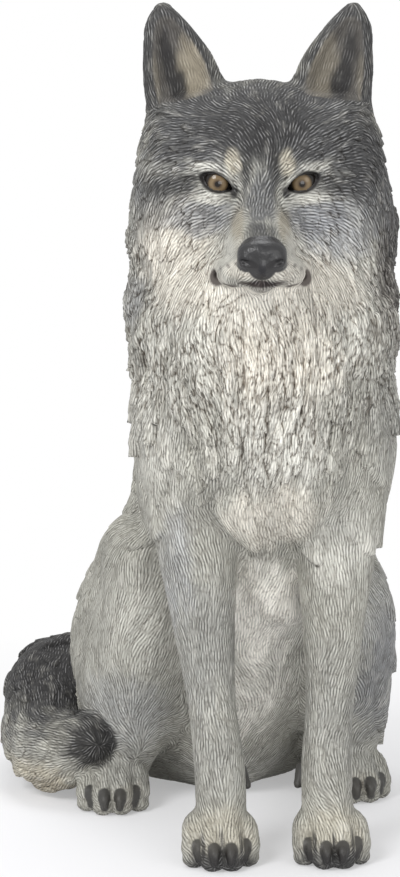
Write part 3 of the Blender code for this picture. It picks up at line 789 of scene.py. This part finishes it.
def trunk_locks(clay, rows, around, length):
    """Flat locks on the back, the flanks and the haunches, clear of the legs and the tail."""
    locks = []
    for row, k, step in staggered(rows, around):
        level = TRUNK_TOP + (TRUNK_FOOT - TRUNK_TOP) * row / (rows - 1)
        turn = 2 * math.pi * step / around
        turn += 1.6 / around * math.sin(4.7 * k + 2.1 * row)
        out = Vector((math.sin(turn), -math.cos(turn), 0))
        root = clay.hit(Vector((60, 30 + 0.3 * (TRUNK_TOP - level), level)), out, 200)
        near_tail = level < 160 and root[0][0] < 60 + TAIL_PATH[2][0] / 2
        near_legs = level < 330 and out.y < -0.3
        if near_tail or near_legs:
            continue
        lean = np.array((0.25 * out.x, 0.25, -1.0))
        lean += 0.25 * math.sin(3.9 * k + 2.7 * row) * np.array((-out.y, out.x, 0))
        real = length * (1 + 0.2 * math.sin(2.3 * k + row))
        locks.append(lock_at(clay, root, lean, real))
    return locks


def tail_locks(clay, around, length):
    """Locks round the tail, lying towards its tip."""
    locks = []
    keys = smooth_path(np.array(TAIL_PATH, np.float32))[::3]
    for row, k, step in staggered(len(keys) - 1, around):
        start, end = keys[row : row + 2]
        run = unit(end[:3] - start[:3])
        side = unit(np.cross(run, (0, 0, 1)))
        turn = 2 * math.pi * step / around
        way = side * math.cos(turn) + np.cross(side, run) * math.sin(turn)
        root = clay.hit(start[:3], way, 1.3 * start[3])
        lean = run + 0.2 * math.sin(3.1 * k + 1.7 * row) * np.cross(run, way)
        locks.append(lock_at(clay, root, lean, length))
    return locks


def sculpt():
    """The whole wolf in clay, with the head laid up by itself and joined on."""
    clay = Clay()
    sculpt_body(clay)
    sculpt_ruff(clay)
    clay.soften(3)
    for leg, hip, yaw in zip(both(CHEST), both(HIPS), HIND_FOOT_YAWS):
        sculpt_foreleg(clay, leg)
        sculpt_hind_foot(clay, hip, yaw)
    clay.add(limb(WHOLE, TAIL_PATH), 10, "tail")
    head = Clay()
    sculpt_head(head)
    clay.join(head, 16)
    return clay


def divided(points, quads, chosen):
    """The quads with each chosen one split into four, and no gap left beside it."""
    ahead = np.roll(quads, -1, axis=1)
    keys = np.minimum(quads, ahead).astype(np.int64) * len(points)
    keys += np.maximum(quads, ahead)
    edges, edge_of = np.unique(keys, return_inverse=True)
    edge_of = edge_of.reshape(quads.shape)
    split = np.zeros(len(edges), bool)
    split[edge_of[chosen]] = True
    new = np.full(len(edges), -1)
    new[split] = len(points) + np.arange(split.sum())
    ends = edges[split]
    middles = (points[ends // len(points)] + points[ends % len(points)]) / 2
    centres = points[quads[chosen]].mean(axis=1)
    first = len(points) + len(middles)
    centre = first + np.arange(len(centres))
    old = quads[chosen]
    mids = new[edge_of[chosen]]
    small = [np.stack([old[:, i], mids[:, i], centre, mids[:, i - 1]], axis=1) for i in range(4)]
    small = np.concatenate(small)
    rest = np.empty((int((~chosen).sum()), 8), np.int64)
    rest[:, 0::2] = quads[~chosen]
    rest[:, 1::2] = new[edge_of[~chosen]]
    corners = np.full((len(small), 8), -1)
    corners[:, 0:8:2] = small
    return np.concatenate([points, middles, centres]), np.concatenate([rest, corners])


def smooth(t):
    t = np.clip(t, 0, 1)
    return t * t * (3 - 2 * t)


def sample(volume, places):
    """The volume at these places, measured in cells, blended and repeating past its ends."""
    base = np.floor(places).astype(np.int32)
    part = smooth((places - base).astype(np.float32))
    flat = volume.reshape(-1, *volume.shape[3:])
    size = volume.shape[:3]
    total = 0
    for corner, weight in corner_weights(part.T):
        cell = [(base[:, i] + corner[i]) % size[i] for i in range(3)]
        index = (cell[0] * size[1] + cell[1]) * size[2] + cell[2]
        if flat.ndim == 2:
            weight = weight[:, None]
        total = total + weight * flat[index]
    return total


def mottle(points, cell, seed):
    """Soft noise about zero with patches about this many millimetres wide."""
    lattice = np.random.default_rng(seed).normal(size=(48, 48, 48)).astype(np.float32)
    return sample(lattice, points / cell + seed)


def unit(rows):
    """These directions, each one long."""
    rows = np.asarray(rows, float)
    return rows / np.maximum(np.linalg.norm(rows, axis=-1, keepdims=True), 1e-12)


def flow_guides():
    """Places on the wolf and the way its coat lies there."""
    spots, ways = [], []
    for place, lays in ((HEAD, HEAD_LAYS), (CHEST, CHEST_LAYS), (HIPS, HIP_LAYS)):
        for near in both(place):
            for spot, way in lays:
                spots.append(near @ Vector(spot))
                ways.append(near.to_3x3() @ Vector(way))
    return np.array(spots), np.array(ways)


def carried(places, spots, ways, reach):
    """The ways at these spots, carried to the places by how near each spot is."""
    total = np.zeros_like(places)
    for spot, way in zip(spots, ways):
        away = ((places - spot) ** 2).sum(axis=1) / reach**2 + 1
        total += way / away[:, None] ** 3
    return unit(total)


class Flow:
    """The way the coat lies everywhere, on a coarse grid."""

    CELL = 11.0

    def __init__(self, clay):
        low, high = np.array(LOW, float), np.array(HIGH, float)
        counts = np.ceil((high - low) / self.CELL).astype(int) + 1
        ticks = [low[i] + self.CELL * np.arange(counts[i]) for i in range(3)]
        places = np.stack(np.meshgrid(*ticks, indexing="ij"), axis=-1).reshape(-1, 3)
        spots, ways = flow_guides()
        total = carried(places, spots, unit(ways), 15)
        near_tail = clay.marks["tail"][0].distance(*places.T) < 9
        keys = np.array(TAIL_PATH, float)[:, :3]
        middles, runs = (keys[1:] + keys[:-1]) / 2, unit(keys[1:] - keys[:-1])
        total[near_tail] = carried(places, middles, runs, 20)[near_tail]
        for seed, size, amount in COAT_WAVERS:
            waver = [mottle(places, size, seed + 10 * i) for i in range(3)]
            total += amount * np.stack(waver, axis=1)
        out = clay.normals(places)
        total -= out * (total * out).sum(axis=1, keepdims=True)
        self.low = low
        self.grid = unit(total).astype(np.float32).reshape(*counts, 3)

    def at(self, points):
        return unit(sample(self.grid, (points - self.low) / self.CELL))


def strands(points, flow, sizes):
    """For each width and length, noise drawn out along the coat, about zero."""
    lattices = [
        np.random.default_rng(20 + i).normal(size=(64, 64, 64)).astype(np.float32)
        for i in range(len(sizes))
    ]
    totals = [np.zeros(len(points), np.float32) for _ in sizes]
    longest = max(length for _, length in sizes)
    for way in (1, -1):
        spots = points.copy()
        gone = 0.0
        while gone < longest / 2:
            for i, (width, length) in enumerate(sizes):
                if gone < length / 2:
                    share = 1 - (2 * gone / length) ** 2
                    totals[i] += share * sample(lattices[i], spots / width)
            spots += way * COMB_STEP * flow.at(spots)
            gone += COMB_STEP
    return [total / total.std() for total in totals]


def lay_locks(points, tree, locks, width, height):
    """How high pointed, overlapping locks stand over these points, and a shade for each lock."""
    relief = np.zeros(len(points), np.float32)
    shade = np.zeros(len(points), np.float32)
    half = width / 2
    for number, (root, along, out, length) in enumerate(locks):
        middle = Vector(root + along * length / 2)
        found = tree.find_range(middle, math.hypot(length / 2, half) + 3)
        near = np.array([index for _, index, _ in found], int)
        if not len(near):
            continue
        offset = points[near] - root
        v = offset @ along / length
        u = offset @ np.cross(along, out) / half
        u = u + LOCK_WAVE / half * np.sin(6.3 * v + number)
        inside = (v > 0) & (v < 1) & (np.abs(offset @ out) < LOCK_REACH)
        v = np.clip(v, 0, 1)
        taper = np.sqrt(1 - v**1.5) * np.minimum(1, 5 * v)
        crown = np.sqrt(np.clip(1 - (u / np.maximum(taper, 1e-3)) ** 2, 0, 1))
        rise = height * (0.35 + 0.65 * v) * crown * inside
        higher = rise > relief[near]
        relief[near[higher]] = rise[higher]
        shade[near[higher]] = math.sin(12.9 * number) * 0.5 + 0.5
    return relief, shade


class Coat:
    """The paint over the clay's points, laid in soft daubs."""

    def __init__(self, points, colour, ragged):
        self.points = points
        self.colour = np.tile(linear(colour), (len(points), 1))
        self.ragged = ragged

    def within(self, place, middle, size, both=True, soft=0.6, ragged=0.1):
        """From 1 inside a soft ellipsoid to 0 outside it, its edge broken along the fur."""
        inverse = np.array(place.inverted())
        local = self.points @ inverse[:3, :3].T + inverse[:3, 3]
        if both:
            local[:, 0] = np.abs(local[:, 0])
        gap = np.linalg.norm((local - middle) / np.array(size), axis=1)
        return smooth((1 - gap + ragged * self.ragged) / soft)

    def lay(self, colour, amount):
        self.blend(linear(colour), amount)

    def blend(self, paint, amount):
        share = np.clip(amount, 0, 1)[:, None]
        self.colour = self.colour * (1 - share) + paint * share

    def daub(self, place, marks, limit=1):
        """Lays each mark of a table in this frame, within this limit."""
        for colour, amount, side, middle, size in marks:
            near = place @ Matrix.Diagonal((side or 1, 1, 1, 1))
            share = self.within(near, middle, size, both=side == 0)
            self.lay(colour, amount * share * limit)

    def near(self, masses, reach, fade):
        """From 1 close to these masses to 0 away from them."""
        gaps = [mass.distance(*self.points.T) for mass in masses]
        return smooth(1 - (np.min(gaps, axis=0) - reach) / fade)


def linear(colour):
    """A colour written as it looks on screen, from 0 to 255, as light."""
    c = np.array(colour, float) / 255
    return np.where(c <= 0.04045, c / 12.92, ((c + 0.055) / 1.055) ** 2.4)


def fur_and_skin(clay):
    """The points of the finished wolf, their faces, and what the paint needs to know of them."""
    points, quads = clay.surface()
    points, quads = points.astype(np.float64), quads.astype(np.int64)
    out = clay.normals(points)
    # Quads are split where they are large and face the front
    diagonals = points[quads[:, 2:]] - points[quads[:, :2]]
    areas = np.linalg.norm(np.cross(diagonals[:, 0], diagonals[:, 1]), axis=1) / 2
    score = areas * (1.15 - out[quads[:, 0], 1])
    count = min(SPLIT_FACES, len(quads))
    chosen = score >= np.partition(score, -count)[-count]
    points, corners = divided(points, quads, chosen)
    points = clay.skin(points)
    out = clay.normals(points)

    flow = Flow(clay)
    combed = strands(points, flow, [furrow[:2] for furrow in FURROWS])

    tree = KDTree(len(points))
    for index, point in enumerate(points):
        tree.insert(point, index)
    tree.balance()
    layers = [[], [], []]
    for kind, sorts in (
        (ruff_locks, RUFF_LAYERS),
        (trunk_locks, TRUNK_LAYERS),
        (tail_locks, TAIL_LAYERS),
        (cheek_locks, CHEEK_LAYERS),
    ):
        for layer, sort in zip(layers, sorts):
            if sort:
                *counts, width, height = sort
                locks = kind(clay, *counts)
                layer.append(lay_locks(points, tree, locks, width, height))
    relief = [sum(high for high, _ in layer) for layer in layers]
    shades = [sum(shade for _, shade in layer) for layer in layers]
    # The ruff's finer locks run out in a V on the chest
    ruff = np.clip(layers[0][0][0] / 3, 0, 1)
    foot = RUFF_FOOT - RUFF_V_DROP + RUFF_V_SLOPE * np.abs(points[:, 0] - CHEST_PLACE[0])
    front = smooth((20 - points[:, 1]) / 60)
    fade = 1 - front * (1 - smooth((points[:, 2] - foot) / 45))
    relief[1:] = [high * (0.35 + 0.65 * fade) for high in relief[1:]]
    ruff = ruff * fade
    return points, corners, out, flow.at(points), combed, relief, shades, ruff


def bare_parts(coat, marks):
    """How much each point is nose, nostril, claw, mouth or eye rim."""
    bare = {name: coat.near(marks[name], *reach) for name, reach in BARE_REACH.items()}
    bare["eye"] *= coat.within(HEAD, (38, -2, 0), (30, 24, 20), soft=0.4, ragged=0)
    return bare


def paint_coat(coat, combed, groove, shades, ruff, bare, fur, marks):
    """Lays ground, markings, painted light and shade, wash in the grooves and pale strokes, and
    says how bold they are.
    """
    coat.daub(CHEST, BODY_PAINT)
    coat.daub(HIPS, HIP_PAINT)
    coat.daub(HEAD, HEAD_PAINT)
    tail = coat.near(marks["tail"], 4.0, 5.0)
    coat.daub(WHOLE, TAIL_PAINT, tail)
    inner = coat.near(marks["ear"], 1.0, 3.0)
    inner = inner * coat.within(HEAD, (80, 70, 110), (60, 60, 90), soft=0.3, ragged=0)
    coat.lay(DUSK, 0.85 * inner)
    coat.daub(HEAD, EAR_PAINT, inner)

    # Dark wash in the furrows and between the locks
    wash = np.zeros(len(coat.points))
    for combing, (share, more) in zip(combed, FURROW_WASH):
        line = np.exp(-((combing / WASH_LINE) ** 2))
        wash = np.maximum(wash, (share + more * ruff) * line)
    wash = np.maximum(wash, 0.95 * np.clip(groove / WASH_DEPTH, 0, 1))
    calm = 1 - 0.6 * coat.within(HEAD, (0, -62, -52), (60, 60, 52), soft=0.8)
    below = smooth((430 - coat.points[:, 2]) / 120) * (1 - tail)
    calm = calm * (1 - 0.15 * below) * (1 - 0.6 * inner)
    coat.blend(coat.colour * linear(WASH), wash * fur * calm)
    # Pale strokes on the ridges, and tufts a little lighter or darker
    strand = np.clip(combed[1] * 0.4 + combed[2] * 0.6 - 0.55, 0, 1.2) * 0.4
    strand = strand + 0.3 * np.clip(-groove / 0.8, 0, 1)
    light = coat.colour.mean(axis=1)
    coat.lay(STRAND, strand * fur * calm * np.clip(0.25 + 1.5 * light, 0, 1))
    big, small, wide = TUFTS
    tuft = big * (shades[0] - 0.5) + small * (shades[1] - 0.5) + wide * combed[0]
    coat.colour = coat.colour * (1 + (tuft * fur * calm)[:, None])
    for x, z in LIP_DOTS:
        dot = coat.within(HEAD, (x, -80, z), (2.6, 40, 2.6), soft=0.6, ragged=0)
        coat.lay(BROWN, 0.7 * dot)
    for name, colour, amount in BARE_PAINT:
        coat.lay(colour, amount * bare[name])
    return calm


def fill(rows, field, values, kind=np.float32):
    """Sets this field of all the rows of mesh data."""
    rows.foreach_set(field, values.astype(kind).ravel())


def pieces_of(points, corners, normals, colours, fur, gloss, across):
    """Cuts the wolf into pieces of few enough faces, from its feet up, and lets each ride."""
    middle = points[corners[:, 0]]
    order = np.argsort(middle[:, 2], kind="stable")
    count = int(np.ceil(len(corners) / PIECE_FACES))
    paint = painted_resin()
    for number, part in enumerate(np.array_split(order, count)):
        faces = corners[part]
        held = faces >= 0
        used, loops = np.unique(faces[held], return_inverse=True)
        mesh = bpy.data.meshes.new(f"wolf_coat_{number + 1}")
        sizes = held.sum(axis=1)
        mesh.vertices.add(len(used))
        fill(mesh.vertices, "co", points[used] * MM + SHIFT)
        mesh.loops.add(len(loops))
        fill(mesh.loops, "vertex_index", loops, np.int32)
        mesh.polygons.add(len(faces))
        fill(mesh.polygons, "loop_start", np.cumsum(sizes) - sizes, np.int32)
        fill(mesh.polygons, "loop_total", sizes, np.int32)
        mesh.update(calc_edges=True)
        mesh.polygons.foreach_set("use_smooth", np.ones(len(faces), bool))
        mesh.normals_split_custom_set_from_vertices(normals[used].astype(np.float32))
        rgba = np.concatenate([colours[used], np.ones((len(used), 1))], axis=1)
        for name, kind, field, values in (
            ("coat", "FLOAT_COLOR", "color", np.clip(rgba, 0, 1)),
            ("fur", "FLOAT", "value", fur[used]),
            ("gloss", "FLOAT", "value", gloss[used]),
            ("across", "FLOAT_VECTOR", "vector", across[used]),
        ):
            fill(mesh.attributes.new(name, kind, "POINT").data, field, values)
        mesh.materials.append(paint)
        piece = bpy.data.objects.new(mesh.name, mesh)
        bpy.context.scene.collection.objects.link(piece)
        dress(piece)


def dress(piece):
    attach(piece, "root")
    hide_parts("wolf")


def new_material(name):
    """A material, its node tree and its surface shader."""
    material = bpy.data.materials.new(name)
    material.use_nodes = True
    return material, material.node_tree, material.node_tree.nodes["Principled BSDF"]


def feed(tree, fed, feeds):
    """Sets each input of a node to a value, or links it to another node's output."""
    for name, value in feeds.items():
        if isinstance(value, bpy.types.NodeSocket):
            tree.links.new(value, fed.inputs[name])
        else:
            fed.inputs[name].default_value = value


def node(tree, kind, feeds=None, out=0, **settings):
    """The output of a new node with these settings and feeds."""
    made = tree.nodes.new("ShaderNode" + kind)
    for name, value in settings.items():
        setattr(made, name, value)
    feed(tree, made, feeds or {})
    return made.outputs[out] if made.outputs else None


def stretched(tree, value, start, end):
    """A value stretched from one span to another."""
    feeds = {"Value": value, "From Min": start[0], "From Max": start[1]}
    return node(tree, "MapRange", {**feeds, "To Min": end[0], "To Max": end[1]})


def painted_resin():
    """Matt paint over combed resin; fine hairs are in the shading alone."""
    material, tree, surface = new_material("painted_resin")
    coat = node(tree, "Attribute", out="Color", attribute_name="coat")
    fur = node(tree, "Attribute", out="Fac", attribute_name="fur")
    gloss = node(tree, "Attribute", out="Fac", attribute_name="gloss")
    across = node(tree, "Attribute", out="Vector", attribute_name="across")
    place = node(tree, "TexCoord", out="Object")
    fine = {"Vector": place, "Scale": HAIR_SCALE, "Frequency": HAIR_FREQUENCY, "Anisotropy": 1.0}
    hairs = node(tree, "TexGabor", fine, out="Value", gabor_type="3D")
    way = [socket for socket in hairs.node.inputs if socket.identifier == HAIR_WAY]
    tree.links.new(across, way[0])

    shade = stretched(tree, hairs, *HAIR_SHADE)
    shade = node(tree, "Mix", {0: fur, 2: 1.0, 3: shade}, data_type="FLOAT")
    tone = node(tree, "VectorMath", {0: coat, "Scale": shade}, operation="SCALE")
    tips = stretched(tree, hairs, *HAIR_TIPS)
    tips = node(tree, "Math", {0: tips, 1: fur}, operation="MULTIPLY")
    paint = node(tree, "VectorMath", {0: tone, 1: tips}, operation="ADD")

    grain = node(tree, "TexNoise", {"Vector": place, "Scale": GRAIN_SCALE}, out="Fac")
    pits = node(tree, "Math", {0: grain, 1: gloss}, operation="MULTIPLY")
    rise = node(tree, "Math", {0: hairs, 1: fur, 2: pits}, operation="MULTIPLY_ADD")
    bump = node(tree, "Bump", {"Strength": BUMP_STRENGTH, "Distance": BUMP_DEPTH, "Height": rise})
    rough = stretched(tree, gloss, (0, 1), (ROUGH_MATT, ROUGH_GLOSS))
    feed(
        tree,
        surface,
        {"Base Color": paint, "Normal": bump, "Roughness": rough, "Specular IOR Level": 0.35},
    )
    return material


def eye_paint():
    """Rings of colour about the way the eye looks, under gloss."""
    material, tree, surface = new_material("glossed_eye")
    place = node(tree, "TexCoord", out="Object")
    flat = node(tree, "VectorMath", {0: place, 1: (1, 0, 1)}, operation="MULTIPLY")
    away = node(tree, "VectorMath", {0: flat}, out="Value", operation="LENGTH")
    share = node(tree, "Math", {0: away, 1: EYE_RADIUS * MM}, operation="DIVIDE")
    ring = node(tree, "ValToRGB", {"Fac": share}, out="Color")
    elements = ring.node.color_ramp.elements
    while len(elements) < len(EYE_RINGS):
        elements.new(0.5)
    for element, (at, colour) in zip(elements, EYE_RINGS):
        element.position = at
        element.color = (*linear(colour), 1)
    feed(tree, surface, {"Base Color": ring, "Roughness": 0.07, "Specular IOR Level": 0.3})
    return material


def add_eyes():
    paint = eye_paint()
    turn = math.radians(GAZE_DOWN)
    for name, side in (("eye_left", 1), ("eye_right", -1)):
        bpy.ops.mesh.primitive_uv_sphere_add(
            segments=64, ring_count=48, radius=(EYE_RADIUS + EYE_GLAZE) * MM, location=(0, 0, 0)
        )
        eye = bpy.context.object
        eye.name = name
        bpy.ops.object.shade_smooth()
        x, y, z = EYE_PLACE
        middle = np.array(HEAD_PLACE) + (side * x, y, z)
        gaze = Euler((turn, 0, math.radians(side * GAZE_OUT))).to_matrix().to_4x4()
        eye.matrix_world = Matrix.Translation(middle * MM + SHIFT) @ gaze
        eye.data.materials.append(paint)
        dress(eye)


def vertex_normals(points, corners):
    """Normals of the points, from the faces around each."""
    first, second, third, last = corners[:, 0::2].T
    way = np.cross(points[third] - points[first], points[last] - points[second])
    total = np.zeros_like(points)
    for here in corners.T:
        held = here >= 0
        for axis in range(3):
            total[:, axis] += np.bincount(here[held], way[held, axis], minlength=len(points))
    return unit(total)


def relief_of(coat, combed, layers, ruff, fur):
    """How far the locks stand up and the furrows go down, less on the face and in the ears."""
    calm = 1 - FACE_CALM * coat.within(HEAD, (0, -45, -40), (84, 84, 78), soft=0.9, ragged=0)
    ears = coat.within(HEAD, (80, 80, 110), (44, 40, 66), soft=0.4, ragged=0)
    calm = calm * (1 - EAR_CALM * ears) * (0.4 + 0.6 * ruff)
    rise = layers[0] + layers[1] + layers[2]
    for combing, (_, _, depth) in zip(combed, FURROWS):
        rise = rise - depth * np.exp(-((combing / 0.38) ** 2)) * calm
    lip = coat.within(HEAD, (0, -60, -80), (52, 64, 30), soft=0.5, ragged=0)
    return rise * fur * (1 - LIP_CALM * lip)


def settled(rise, corners, rounds):
    """The relief smoothed over its faces, which is above it in a groove and below it on a ridge."""
    held = corners >= 0
    sizes = held.sum(axis=1)
    loops = corners[held]
    face = np.repeat(np.arange(len(corners)), sizes)
    shares = np.bincount(loops, minlength=len(rise))
    for _ in range(rounds):
        means = np.bincount(face, rise[loops]) / sizes
        rise = np.bincount(loops, means[face], minlength=len(rise)) / shares
    return rise


def build_wolf(box):
    """The dressed wolf, kept inside the solid's box."""
    clay = sculpt()
    points, corners, out, lie, combed, layers, shades, ruff = fur_and_skin(clay)
    ragged = 0.5 * combed[1] + 0.5 * mottle(points, 9.0, 7)
    coat = Coat(points, GROUND, ragged)
    bare = bare_parts(coat, clay.marks)
    fur = 1 - np.max(list(bare.values()), axis=0)
    rise = relief_of(coat, combed, layers, ruff, fur)
    even = rise - BIG_LOCKS_OUT * layers[0]
    groove = settled(even, corners, HOLLOW_ROUNDS) - even
    bold = paint_coat(coat, combed, groove, shades, ruff, bare, fur, clay.marks)
    low, high = (np.array(box) - SHIFT) / MM
    points = np.clip(points + out * rise[:, None], low, high)
    normals = vertex_normals(points, corners)
    across = unit(np.cross(lie, normals))
    gloss = np.maximum(bare["nose"], 0.6 * np.maximum(bare["claw"], bare["eye"]))
    light = coat.colour.mean(axis=1)
    contrast = fur * bold * np.clip(1.1 - 0.9 * light, 0.4, 1)
    pieces_of(points, corners, normals, coat.colour, contrast, gloss, across)
    print("Triangles of the coat:", (corners >= 0).sum() - 2 * len(corners))
    add_eyes()


def area_light(name, place, aim, size, power):
    lamp = bpy.data.lights.new(name, "AREA")
    lamp.shape = "DISK"
    lamp.size = size
    lamp.energy = power
    light = bpy.data.objects.new(name, lamp)
    light.location = place
    light.rotation_euler = (Vector(aim) - Vector(place)).to_track_quat("-Z", "Y").to_euler()
    bpy.context.scene.collection.objects.link(light)


def floor_paint():
    """White paper that keeps the shadow near the wolf and goes over to plain white away from it."""
    material, tree, surface = new_material("pale_floor")
    paper = {"Base Color": (*linear(FLOOR), 1), "Roughness": 0.9, "Specular IOR Level": 0.0}
    feed(tree, surface, paper)
    place = node(tree, "TexCoord", out="Object")
    away = node(tree, "VectorMath", {0: place}, out="Value", operation="LENGTH")
    fade = stretched(tree, away, *SHADOW_FADE)
    seen = node(tree, "Math", {0: fade, 1: seen_directly(tree)}, operation="MULTIPLY")
    white = node(tree, "Emission")
    mix = node(tree, "MixShader", {"Fac": seen, 1: surface.outputs["BSDF"], 2: white})
    tree.links.new(mix, tree.nodes["Material Output"].inputs["Surface"])
    return material


def seen_directly(tree):
    """1 for rays from the camera and from mirrors or glass, and 0 for rays that light the wolf."""
    rays = tree.nodes.new("ShaderNodeLightPath").outputs
    total = rays["Is Camera Ray"]
    for name in ("Is Glossy Ray", "Is Transmission Ray"):
        total = node(tree, "Math", {0: total, 1: rays[name]}, operation="MAXIMUM")
    return total


def stage():
    """A pale floor, soft lights from the front and a white background."""
    scene = bpy.context.scene
    bpy.ops.mesh.primitive_plane_add(size=FLOOR_WIDTH, location=(0, 0, 0))
    floor = bpy.context.object
    floor.name = "floor"
    floor.data.materials.append(floor_paint())

    world = scene.world or bpy.data.worlds.new("studio")
    scene.world = world
    world.use_nodes = True
    tree = world.node_tree
    tree.nodes.clear()
    white = (1, 1, 1, 1)
    around = node(tree, "Background", {"Color": white, "Strength": AMBIENT})
    behind = node(tree, "Background", {"Color": white, "Strength": 1.0})
    mix = node(tree, "MixShader", {"Fac": seen_directly(tree), 1: around, 2: behind})
    node(tree, "OutputWorld", {"Surface": mix})

    for name, place, size, power in LIGHTS:
        area_light(name, place, LIGHT_AIM, size, power)

    camera = bpy.data.cameras.new("camera")
    camera.sensor_fit = "AUTO"
    camera.sensor_width = 36
    camera.lens = LENS
    view = bpy.data.objects.new("camera", camera)
    view.location = CAMERA_PLACE
    view.rotation_euler = (math.radians(90 - CAMERA_DOWN), 0, 0)
    scene.collection.objects.link(view)
    scene.camera = view
    scene.view_settings.view_transform = "Standard"


def plain(bounds):
    return [[float(value) for value in corner] for corner in bounds]


def main():
    for old in list(bpy.data.objects):
        bpy.data.objects.remove(old)
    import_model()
    cad = plain(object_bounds())
    build_wolf(cad)
    stage()


main()
